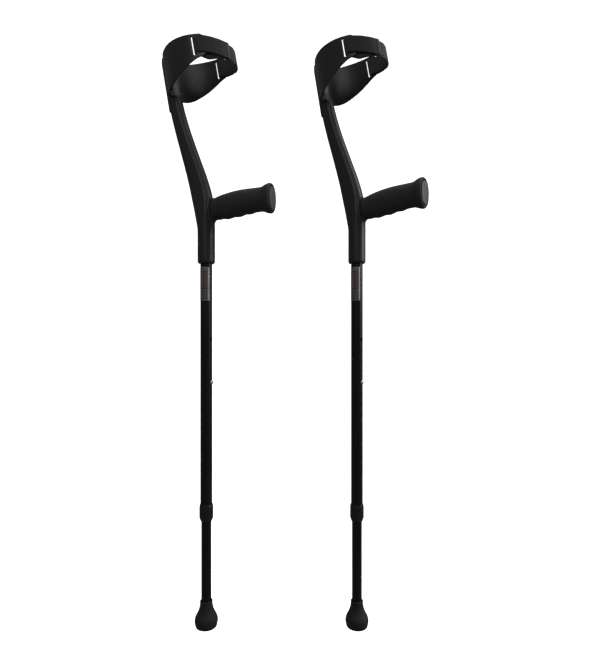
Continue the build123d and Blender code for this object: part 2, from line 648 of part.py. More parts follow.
def make_loop_patch():
    low = STRAP_THICKNESS / 2 + FIT_GAP
    strip_plan = strip(strap_line(), *LOOP_RUN, low, low + PATCH_THICKNESS)
    return sheared(strip_plan) & strap_slab(STRAP_WIDTH - 2 * PATCH_MARGIN)


MAKERS = {
    "foot": make_foot,
    "foot_washer": make_foot_washer,
    "leg_tube": make_leg_tube,
    "leg_bush": make_leg_bush,
    "snap_button": make_snap_button,
    "button_leaf": make_button_leaf,
    "spring_heel": make_spring_heel,
    "outer_tube": make_outer_tube,
    "collar": make_collar,
    "rating_label": make_label,
    "tube_plug": make_tube_plug,
    "sleeve_screw": make_sleeve_screw,
    "handle_frame": make_handle_frame,
    "grip_sleeve": make_grip_sleeve,
    "grip_cap": make_grip_cap,
    "grip_screw": make_grip_screw,
    "cuff": make_cuff,
    "cuff_screws": make_cuff_screws,
    "cuff_nuts": make_cuff_nuts,
    "strap": make_strap,
    "strap_tab": make_strap_tab,
    "hook_patch": make_hook_patch,
    "loop_patch": make_loop_patch,
}


def main():
    os.makedirs("parts", exist_ok=True)
    left_turn = Rot(0, 0, LEFT_HEADING)
    right_turn = Pos(PAIR_SPACING, 0, 0) * Rot(0, 0, RIGHT_HEADING)
    heading = radians(LEFT_HEADING)
    grip = (GRIP_MIDDLE.X * cos(heading), GRIP_MIDDLE.X * sin(heading), GRIP_MIDDLE.Z)
    to_origin = Pos(-grip[0], -grip[1], -grip[2])
    for name, maker in MAKERS.items():
        piece = maker()
        for side, turn in (("left", left_turn), ("right", right_turn)):
            export_step(to_origin * turn * piece, f"parts/{side}_{name}.step")


main()
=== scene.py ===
"""Looks for a pair of height-adjustable forearm crutches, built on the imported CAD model.

Each crutch is worked out in its own frame, in millimetres: the tube stands on the Z axis, the floor
is Z = 0 and the handle points along +X. stand() then puts its points where the CAD crutch is.
"""

import json
import math

import bpy
import numpy as np
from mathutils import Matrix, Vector


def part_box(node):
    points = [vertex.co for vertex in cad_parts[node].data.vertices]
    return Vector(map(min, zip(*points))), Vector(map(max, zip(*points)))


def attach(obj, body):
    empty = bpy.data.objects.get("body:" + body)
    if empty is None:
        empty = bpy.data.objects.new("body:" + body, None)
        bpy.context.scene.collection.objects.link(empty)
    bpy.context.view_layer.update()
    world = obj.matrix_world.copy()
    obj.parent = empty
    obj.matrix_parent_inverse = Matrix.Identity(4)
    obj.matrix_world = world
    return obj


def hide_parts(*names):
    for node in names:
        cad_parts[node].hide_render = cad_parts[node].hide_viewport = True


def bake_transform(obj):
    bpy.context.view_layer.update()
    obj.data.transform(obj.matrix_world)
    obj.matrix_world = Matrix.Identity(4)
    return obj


bl_info = {
    "name": "Forearm Crutches",
    "version": (1, 0, 0),
    "blender": (4, 5, 0),
    "location": "View3D > Sidebar > Crutches",
    "description": "Builds the surfaces and finishes of a pair of forearm crutches",
    "category": "Object",
}

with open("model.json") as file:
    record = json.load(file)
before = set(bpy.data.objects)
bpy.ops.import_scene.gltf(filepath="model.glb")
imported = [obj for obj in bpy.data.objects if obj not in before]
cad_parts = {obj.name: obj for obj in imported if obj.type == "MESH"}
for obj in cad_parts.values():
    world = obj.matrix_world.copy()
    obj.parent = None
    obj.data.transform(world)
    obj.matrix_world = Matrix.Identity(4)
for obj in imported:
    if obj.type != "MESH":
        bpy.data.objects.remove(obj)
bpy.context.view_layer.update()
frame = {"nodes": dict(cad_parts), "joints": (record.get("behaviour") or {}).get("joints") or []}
NODES = frame["nodes"]
SIDES = ("left", "right")
MM = 0.001
TURN = 2 * math.pi

# arm stations: height, centre X, lean back, depth, width, corner bevel
ARM_STATIONS = (
    (744.0, 0.0, 0.0, 32.0, 32.0, 9.2),
    (774.0, -3.0, 8.0, 36.0, 30.5, 8.4),
    (804.0, -8.6, 13.0, 39.0, 27.0, 7.4),
    (837.0, -17.6, 17.5, 36.6, 25.0, 6.6),
    (870.0, -28.6, 19.0, 33.0, 24.0, 6.2),
    (902.0, -39.6, 19.0, 30.0, 23.4, 6.0),
    (935.0, -50.6, 17.5, 27.6, 23.0, 5.8),
    (968.0, -60.4, 15.5, 25.8, 22.6, 5.6),
    (1001.0, -68.4, 12.5, 24.0, 22.2, 5.4),
)
# soft grip stations: X, centre height, full height, full width
GRIP_STATIONS = (
    (21.0, 781.5, 41.0, 32.0),
    (34.0, 783.5, 45.0, 34.0),
    (50.0, 785.6, 47.4, 35.6),
    (68.0, 787.8, 48.0, 36.0),
    (86.0, 789.6, 46.4, 35.4),
    (102.0, 790.8, 44.6, 34.0),
    (116.0, 791.6, 45.2, 33.6),
    (124.5, 792.0, 52.0, 37.4),
    (129.5, 792.0, 54.2, 39.0),
    (132.4, 792.0, 53.6, 38.4),
    (134.0, 792.0, 50.8, 35.8),
)
GRIP_AXIS = 792.0  # height of the grip's flange and cap
GRIP_OVAL = 2.12  # power of the grip's superellipse
BORE_RADIUS = 11.1  # inside of the sleeve
BORE_TOP = 792.0
ARM_ROUND = 728.0  # the sleeve is round up to here
ARM_OCTAGON = 772.0  # the arm is an octagon from here on
SPINE_LOW = 972.0
SPINE_TOP = 1081.0
SPINE_ROUND = 7.0
SCREW_HOLE = (3.6, -13.65, -24.0, 705.0)  # radius, start X, end X, height
# the cuff's rims: X, height
CUFF_TOP_EDGE = ((-110.0, 1069.0), (-88.0, 1075.0), (-58.0, 1083.0), (-28.0, 1086.3),
                 (0.0, 1087.0), (30.0, 1086.5))
CUFF_LOW_EDGE = ((-110.0, 1002.4), (-86.0, 1002.5), (-70.0, 1002.9), (-58.0, 1004.4), (-48.0, 1008.6),
                 (-36.0, 1016.0), (-20.0, 1026.0), (-2.0, 1037.8), (8.0, 1043.6), (30.0, 1048.5))
CUFF_REFERENCE = 1086.0
CUFF_CENTRE = -19.4
CUFF_HALF_LENGTH = 72.0
CUFF_HALF_WIDTH = 47.5
CUFF_SHEAR = math.tan(math.radians(10.5))
SLOT_BACK = -6.8  # in the cuff's plan
SLOT_FRONT = -1.8
SLOT_LOW = 1048.0
SLOT_HIGH = 1083.0
CUFF_TIP = 16.2
# the side view of the strap's and the tab's middle: X, height
STRAP_NEAR_SIDE = ((-20.0, 1066.5), (-4.0, 1065.5), (4.0, 1064.9), (12.0, 1061.0), (22.0, 1056.8),
                   (36.0, 1057.2), (50.0, 1059.0), (80.0, 1059.0))
STRAP_FAR_SIDE = ((-20.0, 1066.5), (4.0, 1065.5), (22.0, 1063.5), (50.0, 1059.0), (80.0, 1059.0))
TAB_SIDE = ((-20.0, 1067.0), (14.0, 1068.5), (58.0, 1059.0))
# the strap's middle in plan, from the near slot to the front, then mirrored
STRAP_PLAN = ((-6.7, -42.2), (8.0, -40.3), (16.0, -37.6), (30.0, -32.6), (41.0, -26.4), (49.6, -15.4),
              (53.6, 0.0))
TAB_CLEAR = 3.8  # from the strap's middle to the tab's
TAB_MARKS = [106, 134, 160]  # points of the strap's front that the tab passes outside
HINGE_START = (1.6 + TAB_CLEAR, -47.0, 1066.0)
HINGE_END = (9.0 + TAB_CLEAR, -45.5, 1066.0)
TAPE_THICKNESS = 0.7
TAPE_LIFT = 0.4  # from the webbing's face to the tape's middle
TAPE_INSET = 5.0  # how much narrower the tape is
HOOK_RUN = slice(54, 88)  # points of the tab's line under the hook tape
LOOP_RUN = slice(92, 176)  # points of the strap's line under the loop tape
LABEL_LOW = 611.0
LABEL_HIGH = 673.0
LABEL_SWEEP = 118  # degrees about the tube
LABEL_OUTSIDE = 11.25
LABEL_INSIDE = 11.01
# the foot's side: radius, height
FOOT_SIDE = ((17.6, 0.0), (19.6, 1.0), (20.7, 4.6), (21.5, 8.6), (21.7, 11.5), (21.4, 14.4), (20.8, 17.0),
             (19.5, 20.4), (17.9, 23.4), (16.3, 26.4), (15.0, 29.2), (13.6, 33.0), (12.6, 37.0), (11.9, 40.6),
             (11.5, 43.4), (11.5, 44.8), (11.75, 46.0), (11.7, 47.2), (11.3, 48.3), (10.8, 48.9),
             (10.4, 49.0))


# ---- the crutch's own frame ----
def stand(side, points):
    """Points of a crutch's own frame as metres in the row frame: turned about Z to the crutch's
    heading, then moved to its tube's axis and its foot's underside."""
    tube_low, tube_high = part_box(f"{side}_outer_tube")
    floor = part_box(f"{side}_foot")[0].z
    press = next(joint for joint in frame["joints"] if joint["name"] == f"{side}_button_press")
    forward = -np.array(press["axis"][:2], float)
    forward /= np.hypot(*forward)
    x, y, z = np.moveaxis(np.asarray(points, float) * MM, -1, 0)
    middle = (tube_low + tube_high) / 2
    return np.stack([middle.x + x * forward[0] - y * forward[1],
                     middle.y + x * forward[1] + y * forward[0], floor + z], -1)


def eased(table, at):
    """A station table's other columns read at places along its first: cubic curves through the
    stations, whose slope at each station is the central difference of its neighbours."""
    table = np.asarray(table, float)
    keys = table[:, 0]
    slopes = np.gradient(table[:, 1:], keys, axis=0)
    shape = np.shape(at)
    spots = np.clip(np.ravel(at), keys[0], keys[-1])
    i = np.clip(np.searchsorted(keys, spots, side="right") - 1, 0, len(keys) - 2)
    span = (keys[i + 1] - keys[i])[:, None]
    t = (spots - keys[i])[:, None] / span
    value = ((2 * t**3 - 3 * t**2 + 1) * table[i, 1:] + (t**3 - 2 * t**2 + t) * slopes[i] * span
             + (3 * t**2 - 2 * t**3) * table[i + 1, 1:] + (t**3 - t**2) * slopes[i + 1] * span)
    return np.moveaxis(value.reshape(*shape, -1), -1, 0)


def smoothstep(value, start, end):
    """0 before start, 1 after end, and 3t^2 - 2t^3 between."""
    t = np.clip((value - start) / (end - start), 0, 1)
    return t * t * (3 - 2 * t)


# ---- grids to meshes ----
def grid_faces(rows, columns, around, first=0):
    """One quad between each four neighbouring points of a rows by columns grid. around joins the
    last column to the first."""
    i, j = np.meshgrid(np.arange(rows - 1), np.arange(columns if around else columns - 1), indexing="ij")
    k = (j + 1) % columns
    quads = np.stack([i * columns + j, i * columns + k, (i + 1) * columns + k, (i + 1) * columns + j], -1)
    return quads.reshape(-1, 4) + first


def closed_grid(points, first=0):
    """(points, faces) of rows of rings with both ends closed: each end is a fan of triangles to the
    mean of its ring. The faces are turned outwards by the sign of the enclosed volume."""
    rows, columns = points.shape[:2]
    flat = np.concatenate([points.reshape(-1, 3), [points[0].mean(0), points[-1].mean(0)]])
    quads = grid_faces(rows, columns, True)
    ring = np.arange(columns)
    after = (ring + 1) % columns
    start = np.stack([after, ring, np.full(columns, rows * columns)], -1)
    end = np.stack([ring, after, np.full(columns, rows * columns + 1)], -1)
    end[:, :2] += (rows - 1) * columns
    triangles = np.concatenate([quads[:, [0, 1, 2]], quads[:, [0, 2, 3]], start, end])
    a, b, c = (flat[triangles[:, n]] for n in range(3))
    faces = [*quads.tolist(), *start.tolist(), *end.tolist()]
    if np.einsum("ij,ij->", a, np.cross(b, c)) < 0:
        faces = [face[::-1] for face in faces]
    return flat, [[corner + first for corner in face] for face in faces]


def read(items, name, width=1, kind=float):
    """A row of that many values from each item of a mesh."""
    values = np.empty(len(items) * width, kind)
    items.foreach_get(name, values)
    return values.reshape(-1, width)


def smooth(mesh, sharp=None):
    """Smooth shading, except at edges sharper than that many degrees."""
    mesh.polygons.foreach_set("use_smooth", np.ones(len(mesh.polygons), bool))
    if sharp:
        mesh.set_sharp_from_angle(angle=math.radians(sharp))


def make_object(name, points, faces, sharp=None):
    """A smooth mesh object at the origin from points in metres."""
    mesh = bpy.data.meshes.new(name)
    mesh.from_pydata(np.asarray(points).tolist(), [], [list(map(int, face)) for face in faces])
    mesh.validate()
    smooth(mesh, sharp)
    piece = bpy.data.objects.new(name, mesh)
    bpy.context.scene.collection.objects.link(piece)
    return piece


def give_uv(piece, values):
    """Writes one UV pair per vertex, in the order of the mesh's points, to a map named Surface."""
    corners = read(piece.data.loops, "vertex_index", kind=int)[:, 0]
    layer = piece.data.uv_layers.new(name="Surface")
    layer.uv.foreach_set("vector", np.asarray(values, float)[corners].ravel())


def give_attribute(piece, name, values):
    """Writes one number per vertex to a point attribute."""
    piece.data.attributes.new(name, "FLOAT", "POINT").data.foreach_set("value", values)


def set_mesh(piece, sharp):
    """Makes the piece's modifiers final, so that its mesh is the shape that shows."""
    shown = piece.evaluated_get(bpy.context.evaluated_depsgraph_get())
    mesh = bpy.data.meshes.new_from_object(shown)
    piece.modifiers.clear()
    piece.data = mesh
    smooth(mesh, sharp)


def drop_loose(piece):
    """Takes out the points that no face of a mesh of quads uses."""
    mesh = piece.data
    corners = read(mesh.loops, "vertex_index", kind=int)[:, 0]
    keep = np.isin(np.arange(len(mesh.vertices)), corners)
    faces = (np.cumsum(keep) - 1)[corners].reshape(-1, 4)
    piece.data = bpy.data.meshes.new(piece.name)
    piece.data.from_pydata(read(mesh.vertices, "co", 3)[keep].tolist(), [], faces.tolist())
    smooth(piece.data)


def turn_outwards(piece):
    """Turns every face over if the closed mesh's signed volume is negative."""
    mesh = piece.data
    mesh.calc_loop_triangles()
    spots = read(mesh.vertices, "co", 3)
    a, b, c = np.moveaxis(spots[read(mesh.loop_triangles, "vertices", 3, int)], 1, 0)
    if np.einsum("ij,ij->", a - a.mean(0), np.cross(b - a.mean(0), c - a.mean(0))) < 0:
        mesh.flip_normals()


def finish_piece(piece, side, body, node, finish):
    """Gives the piece its material and, where a body is named, its CAD body, and hides the CAD node that it
    stands for.
    """
    piece.data.materials.clear()
    piece.data.materials.append(finish_material(finish))
    if body:
        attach(piece, f"{side}_{body}")
    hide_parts(f"{side}_{node}")
    return piece


def lathe(profile, columns=96):
    """Rings about the Z axis, one for each (radius, height) of the profile."""
    radius, height = np.asarray(profile, float).T[:, :, None]
    angle = np.linspace(0, TURN, columns, endpoint=False)[None, :]
    return np.stack([radius * np.cos(angle), radius * np.sin(angle), height + 0 * angle], -1)


def eased_power(value, power):
    """|value|^power with the value's sign."""
    return np.sign(value) * np.abs(value) ** power


def superellipse(half_wide, half_tall, power, columns):
    """Across and up for each row: a cosine and a sine, each eased to the power 2 / power."""
    angle = np.linspace(0, TURN, columns, endpoint=False)[None, :]
    return (half_wide[:, None] * eased_power(np.cos(angle), 2 / power),
            half_tall[:, None] * eased_power(np.sin(angle), 2 / power))


# ---- shader nodes ----
class Net:
    """A node tree with short ways to add nodes to it. Values are numbers or sockets."""

    def __init__(self, tree):
        self.tree, self.nodes, self.links = tree, tree.nodes, tree.links

    def feed(self, value, socket):
        if isinstance(value, bpy.types.NodeSocket):
            self.links.new(value, socket)
        else:
            socket.default_value = value

    def add(self, kind, **values):
        node = self.nodes.new(kind)
        for label, value in values.items():
            self.feed(value, node.inputs[label])
        return node

    def math(self, operation, *values, clamp=False):
        node = self.nodes.new("ShaderNodeMath")
        node.operation = operation
        node.use_clamp = clamp
        for value, socket in zip(values, node.inputs):
            self.feed(value, socket)
        return node.outputs[0]

    def noise(self, vector, scale, detail, roughness=0.5):
        return self.add("ShaderNodeTexNoise", Vector=vector, Scale=scale, Detail=detail,
                        Roughness=roughness).outputs["Fac"]

    def stretch(self, vector, scale):
        return self.add("ShaderNodeMapping", Vector=vector, Scale=scale).outputs[0]

    def split(self, vector):
        return self.add("ShaderNodeSeparateXYZ", Vector=vector).outputs

    def attribute(self, name):
        node = self.nodes.new("ShaderNodeAttribute")
        node.attribute_name = name
        return node.outputs["Fac"]

    def mix(self, mask, low, high):
        """The colour low at mask 0 and high at mask 1. Each is a socket or a plain colour."""
        node = self.nodes.new("ShaderNodeMix")
        node.data_type = "RGBA"
        self.links.new(mask, node.inputs[0])
        for slot, value in ((6, low), (7, high)):
            self.feed((*value, 1) if isinstance(value, tuple) else value, node.inputs[slot])
        return node.outputs[2]


def new_group(name, numbers, outputs):
    """A node group that takes a Vector and the numbers, given as a net on its tree, the sockets
    that it takes and the sockets that it gives."""
    tree = bpy.data.node_groups.new(name, "ShaderNodeTree")
    tree.interface.new_socket(name="Vector", in_out="INPUT", socket_type="NodeSocketVector")
    for label, value in numbers.items():
        socket = tree.interface.new_socket(name=label, in_out="INPUT", socket_type="NodeSocketFloat")
        socket.default_value = value
    for label in outputs:
        tree.interface.new_socket(name=label, in_out="OUTPUT", socket_type="NodeSocketFloat")
    net = Net(tree)
    return net, net.nodes.new("NodeGroupInput").outputs, net.nodes.new("NodeGroupOutput").inputs


def moulded_grain():
    """Spark-eroded mould texture: fine cells over finer noise. Height is the texture, Wear is a
    mask of large soft patches where hands and clothes have polished it."""
    numbers = {"Grain Scale": 900.0, "Wear Scale": 14.0}
    net, given, out = new_group("Moulded Grain", numbers, ("Height", "Wear"))
    vector, grain_scale, wear_scale = given[:3]
    cells = net.add("ShaderNodeTexVoronoi", Vector=vector, Scale=grain_scale).outputs["Distance"]
    fine = net.noise(vector, net.math("MULTIPLY", grain_scale, 1.7), 2.0)
    net.feed(net.math("MULTIPLY_ADD", cells, 0.6, fine), out["Height"])
    patches = net.noise(vector, wear_scale, 5.0, 0.6)
    net.feed(net.math("MULTIPLY_ADD", patches, 2.6, -0.8, clamp=True), out["Wear"])
    return net.tree


def powder_skin():
    """Orange-peel skin of a baked powder coat on a tube, with faint lengthwise handling streaks."""
    net, given, out = new_group("Powder Skin", {"Peel Scale": 420.0}, ("Height", "Streaks"))
    vector, scale = given[:2]
    net.feed(net.noise(vector, scale, 2.0, 0.45), out["Height"])
    streaks = net.noise(net.stretch(vector, (300.0, 300.0, 9.0)), 1.0, 4.0, 0.65)
    net.feed(net.math("MULTIPLY_ADD", streaks, 2.4, -0.9, clamp=True), out["Streaks"])
    return net.tree


def plain_weave():
    """Plain-woven tape in a UV map kept in millimetres: warp cords run along U and weft cords along
    V, each a rectified sine, and a checker of the two says which is on top. Edge is 1 at the
    selvedges, and Fuzz is fine fibre noise."""
    net, given, out = new_group("Plain Weave", {"Pitch": 1.1, "Half Width": 15.5}, ("Height", "Edge", "Fuzz"))
    vector, pitch, half_width = given[:3]
    along, across = net.split(vector)[:2]
    waves = [net.math("SINE", net.math("MULTIPLY", net.math("DIVIDE", part, pitch), math.pi))
             for part in (along, across)]
    over = net.math("GREATER_THAN", net.math("MULTIPLY", *waves), 0.0)
    under = net.math("SUBTRACT", 1.0, over)
    cords = [net.math("MULTIPLY", net.math("ABSOLUTE", wave), shown)
             for wave, shown in zip(waves, (over, under))]
    net.feed(net.math("ADD", *cords), out["Height"])
    reach = net.math("DIVIDE", net.math("ABSOLUTE", across), half_width)
    net.feed(net.math("MULTIPLY_ADD", reach, 16.0, -14.6, clamp=True), out["Edge"])
    net.feed(net.noise(vector, 2.6, 4.0, 0.7), out["Fuzz"])
    return net.tree


def brushed_metal():
    """Turned and handled metal: fine scratches stretched along one axis, and soft tarnish patches."""
    net, given, out = new_group("Brushed Metal", {"Scratch Scale": 700.0}, ("Scratches", "Tarnish"))
    vector, scale = given[:2]
    net.feed(net.noise(net.stretch(vector, (1.0, 1.0, 0.08)), scale, 3.0, 0.7), out["Scratches"])
    net.feed(net.noise(vector, 160.0, 4.0, 0.6), out["Tarnish"])
    return net.tree


GROUP_MAKERS = {"Moulded Grain": moulded_grain, "Powder Skin": powder_skin,
                "Plain Weave": plain_weave, "Brushed Metal": brushed_metal}


# ---- materials ----
class Finish(Net):
    """A material's net, with its Principled shader."""

    def __init__(self, name, base, roughness, **constants):
        self.material = bpy.data.materials.new(name)
        self.material.use_nodes = True
        super().__init__(self.material.node_tree)
        self.inputs = self.nodes["Principled BSDF"].inputs
        self.inputs["Base Color"].default_value = (*base, 1)
        self.inputs["Roughness"].default_value = roughness
        for label, value in constants.items():
            self.inputs[label.replace("_", " ")].default_value = value
        self.material.diffuse_color = (*base, 1)
        self.places = self.nodes.new("ShaderNodeTexCoord").outputs

    def group(self, name, use_uv=False, **values):
        node = self.nodes.new("ShaderNodeGroup")
        node.node_tree = bpy.data.node_groups.get(name) or GROUP_MAKERS[name]()
        self.links.new(self.places["UV" if use_uv else "Object"], node.inputs["Vector"])
        for label, value in values.items():
            node.inputs[label.replace("_", " ")].default_value = value
        return node.outputs

    def blend(self, mask, low, high, into):
        """Wires one of the shader's inputs to run from low at mask 0 to high at mask 1."""
        colours = isinstance(low, tuple)
        result = self.mix(mask, low, high) if colours else self.math("MULTIPLY_ADD", mask, high - low, low)
        self.links.new(result, self.inputs[into])

    def bump(self, height, strength, distance):
        bump = self.add("ShaderNodeBump", Height=height, Strength=strength, Distance=distance)
        self.links.new(bump.outputs[0], self.inputs["Normal"])


def moulded_plastic(name, base, worn, roughness, strength=0.35):
    finish = Finish(name, base, roughness, Specular_IOR_Level=0.3)
    out = finish.group("Moulded Grain")
    finish.blend(out["Wear"], base, worn, "Base Color")
    finish.blend(out["Wear"], roughness + 0.06, roughness - 0.09, "Roughness")
    finish.bump(out["Height"], strength, 0.00012)
    return finish


def painted_shade_side_plastic(name, side, grey, worn):
    """Moulded plastic in grey and worn where the piece's Face attribute is 1, and in the colour side where it
    is 0: on the cap that colour is a near-black painted shade on its side wall, which darkens the groove
    round it.
    """
    finish = Finish(name, grey, 0.5, Specular_IOR_Level=0.3)
    out = finish.group("Moulded Grain", Grain_Scale=1300.0)
    # side is painted shade for the cap's side wall; grey and worn are the face's own colours
    shade = finish.mix(finish.attribute("Face"), side, finish.mix(out["Wear"], grey, worn))
    finish.links.new(shade, finish.inputs["Base Color"])
    finish.blend(out["Wear"], 0.56, 0.42, "Roughness")
    finish.bump(out["Height"], 0.35, 0.00012)
    return finish


def powder_coat(name, base, clean, streak):
    finish = Finish(name, base, 0.4, Specular_IOR_Level=0.22, Coat_Roughness=0.3)
    out = finish.group("Powder Skin")
    finish.blend(out["Streaks"], clean, streak, "Base Color")
    finish.blend(out["Streaks"], 0.34, 0.5, "Roughness")
    finish.bump(out["Height"], 0.3, 0.0001)
    return finish


def soft_rubber(name, base, dusty, roughness, grain):
    finish = Finish(name, base, roughness, Specular_IOR_Level=0.3, Sheen_Weight=0.04)
    out = finish.group("Moulded Grain", Grain_Scale=grain, Wear_Scale=22.0)
    finish.blend(out["Wear"], base, dusty, "Base Color")
    finish.blend(out["Wear"], roughness, roughness + 0.14, "Roughness")
    finish.bump(out["Height"], 0.5, 0.00016)
    return finish


def handled_metal(name, base, dull, roughness):
    finish = Finish(name, base, roughness, Metallic=1.0)
    out = finish.group("Brushed Metal")
    finish.blend(out["Tarnish"], base, dull, "Base Color")
    finish.blend(out["Scratches"], roughness - 0.08, roughness + 0.14, "Roughness")
    finish.bump(out["Scratches"], 0.2, 0.00004)
    return finish


def hemmed_webbing(name):
    """Plain-woven tape, painted darker in the weave's hollows as painted shade and lighter on the cord crowns
    as painted highlight. Where the piece has a Hem attribute, which rises from 0 to 1 towards its end, the
    tape is paler and two dashed rows of stitches cross it."""
    finish = Finish(name, (0.02, 0.02, 0.022), 0.8, Specular_IOR_Level=0.25, Sheen_Weight=0.1,
                    Sheen_Roughness=0.5)
    out = finish.group("Plain Weave", True)
    # painted shade and highlight: the weave's hollows darker, the cord crowns lighter
    shade = finish.mix(out["Height"], (0.011, 0.011, 0.012), (0.03, 0.03, 0.032))
    shade = finish.mix(out["Edge"], shade, (0.013, 0.013, 0.014))
    hem = finish.attribute("Hem")
    inside = finish.math("GREATER_THAN", hem, 0.02)
    shade = finish.mix(finish.math("MULTIPLY", inside, 0.55), shade, (0.06, 0.06, 0.064))
    rows = [finish.math("COMPARE", hem, place, 0.07) for place in (0.22, 0.76)]
    across = finish.split(finish.places["UV"])[1]
    dash = finish.math("LESS_THAN", finish.math("PINGPONG", across, 1.1), 0.75)
    stitch = finish.math("MULTIPLY", finish.math("ADD", *rows), dash, clamp=True)
    finish.links.new(finish.mix(stitch, shade, (0.11, 0.11, 0.115)), finish.inputs["Base Color"])
    finish.blend(out["Fuzz"], 0.7, 0.95, "Roughness")
    finish.bump(finish.math("MULTIPLY_ADD", stitch, 1.6, out["Height"]), 0.8, 0.00022)
    return finish


def fastening_tape(name, base, tip, pitch):
    finish = Finish(name, base, 0.9, Specular_IOR_Level=0.15, Sheen_Weight=0.2)
    out = finish.group("Plain Weave", True, Pitch=pitch, Half_Width=13.0)
    finish.blend(out["Fuzz"], base, tip, "Base Color")
    finish.blend(out["Height"], 0.95, 0.75, "Roughness")
    finish.bump(out["Height"], 1.0, 0.0004)
    return finish


def printed_foil(name):
    """Printed foil: a silver border, wide at one side, round a black ground with a row of grey marks,
    a dark red field with paler columns and a block of grey marks. U runs round the tube and V up it."""
    finish = Finish(name, (0.3, 0.3, 0.31), 0.3, Metallic=0.0, Specular_IOR_Level=0.6)
    u, v = finish.split(finish.places["UV"])[:2]

    def both(first, second):
        return finish.math("MULTIPLY", first, second)

    def band(value, low, high):
        return both(finish.math("GREATER_THAN", value, low), finish.math("LESS_THAN", value, high))

    def bars(value, count, share):
        return finish.math("LESS_THAN", finish.math("FRACT", finish.math("MULTIPLY", value, count)), share)

    inner = both(band(u, 0.04, 0.84), band(v, 0.025, 0.975))
    field = both(inner, band(v, 0.38, 0.86))
    colour = (0.34, 0.34, 0.35)
    for mask, ink in (
            (inner, (0.012, 0.011, 0.011)),
            (both(both(inner, band(v, 0.885, 0.96)), bars(u, 9.0, 0.66)), (0.17, 0.17, 0.175)),
            (field, (0.06, 0.018, 0.018)),
            (both(field, band(u, 0.36, 0.44)), (0.2, 0.13, 0.125)),
            (both(both(field, band(u, 0.6, 0.76)), bars(v, 26.0, 0.7)), (0.11, 0.06, 0.055)),
            (both(both(inner, band(v, 0.05, 0.34)), both(bars(v, 14.0, 0.6), bars(u, 5.0, 0.62))),
             (0.14,) * 3)):
        colour = finish.mix(mask, colour, ink)
    scuffs = finish.group("Brushed Metal", Scratch_Scale=500.0)
    colour = finish.mix(finish.math("MULTIPLY", scuffs["Tarnish"], 0.35), colour, (0.1,) * 3)
    finish.links.new(colour, finish.inputs["Base Color"])
    border = finish.math("SUBTRACT", 1.0, inner)
    finish.links.new(finish.math("MULTIPLY", border, 0.9), finish.inputs["Metallic"])
    finish.blend(scuffs["Scratches"], 0.24, 0.45, "Roughness")
    finish.bump(scuffs["Scratches"], 0.1, 0.00004)
    return finish


# each record slot's maker and what it is given after the slot's name
FINISHES = {
    "black_tube": (powder_coat, (0.004, 0.004, 0.0045), (0.0035, 0.0035, 0.004), (0.0075, 0.0075, 0.008)),
    "black_moulding": (moulded_plastic, (0.008,) * 3, (0.012,) * 3, 0.5),
    "collar_plastic": (moulded_plastic, (0.007,) * 3, (0.011,) * 3, 0.36, 0.2),
    "frame_plastic": (moulded_plastic, (0.011, 0.011, 0.012), (0.017, 0.017, 0.018), 0.44),
    "cuff_plastic": (moulded_plastic, (0.012, 0.012, 0.013), (0.018, 0.018, 0.019), 0.42, 0.22),
    # cap_plastic: (0.005,) * 3 is painted shade on the cap's side wall in its groove; the greys are the cap
    # face's own colour
    "cap_plastic": (painted_shade_side_plastic, (0.005,) * 3, (0.05, 0.05, 0.053), (0.068, 0.068, 0.072)),
    "grip_rubber": (soft_rubber, (0.011, 0.0117, 0.013), (0.016, 0.017, 0.019), 0.58, 750.0),
    "foot_rubber": (soft_rubber, (0.006, 0.006, 0.0055), (0.012, 0.012, 0.011), 0.6, 500.0),
    "bright_steel": (handled_metal, (0.6, 0.6, 0.61), (0.4, 0.4, 0.41), 0.26),
    "spring_steel": (handled_metal, (0.5, 0.5, 0.52), (0.3, 0.3, 0.32), 0.34),
    "dark_steel": (handled_metal, (0.11, 0.11, 0.115), (0.05, 0.05, 0.052), 0.4),
    "strap_webbing": (hemmed_webbing,),
    "hook_tape": (fastening_tape, (0.01,) * 3, (0.03,) * 3, 1.6),
    "loop_tape": (fastening_tape, (0.009,) * 3, (0.024,) * 3, 0.9),
    "label_foil": (printed_foil,),
}
_made = {}


def finish_material(name):
    """The material of that record slot, made the first time that it is asked for."""
    if name not in _made:
        maker, *values = FINISHES[name]
        _made[name] = maker(name, *values).material
    return _made[name]


def length(name, default, description):
    """A length in the sidebar, in metres."""
    return bpy.props.FloatProperty(name=name, description=description, default=default, unit="LENGTH")


# ---- handle frame ----
def octagon_radius(angle, depth, width, bevel, power=26.0):
    """Distance from the middle to a soft-edged octagon: 1 / (sum over the flats of (facing / flat's
    distance)^power)^(1/power), where facing is the cosine between the direction and the flat."""
    flats = []
    for n in range(8):
        if n % 2:
            distance = (depth / 2 + width / 2 - bevel) / math.sqrt(2)
        else:
            distance = (width if n % 4 else depth) / 2
        flats.append((np.maximum(np.cos(angle - n * math.pi / 4), 0) / distance) ** power)
    return sum(flats) ** (-1 / power)


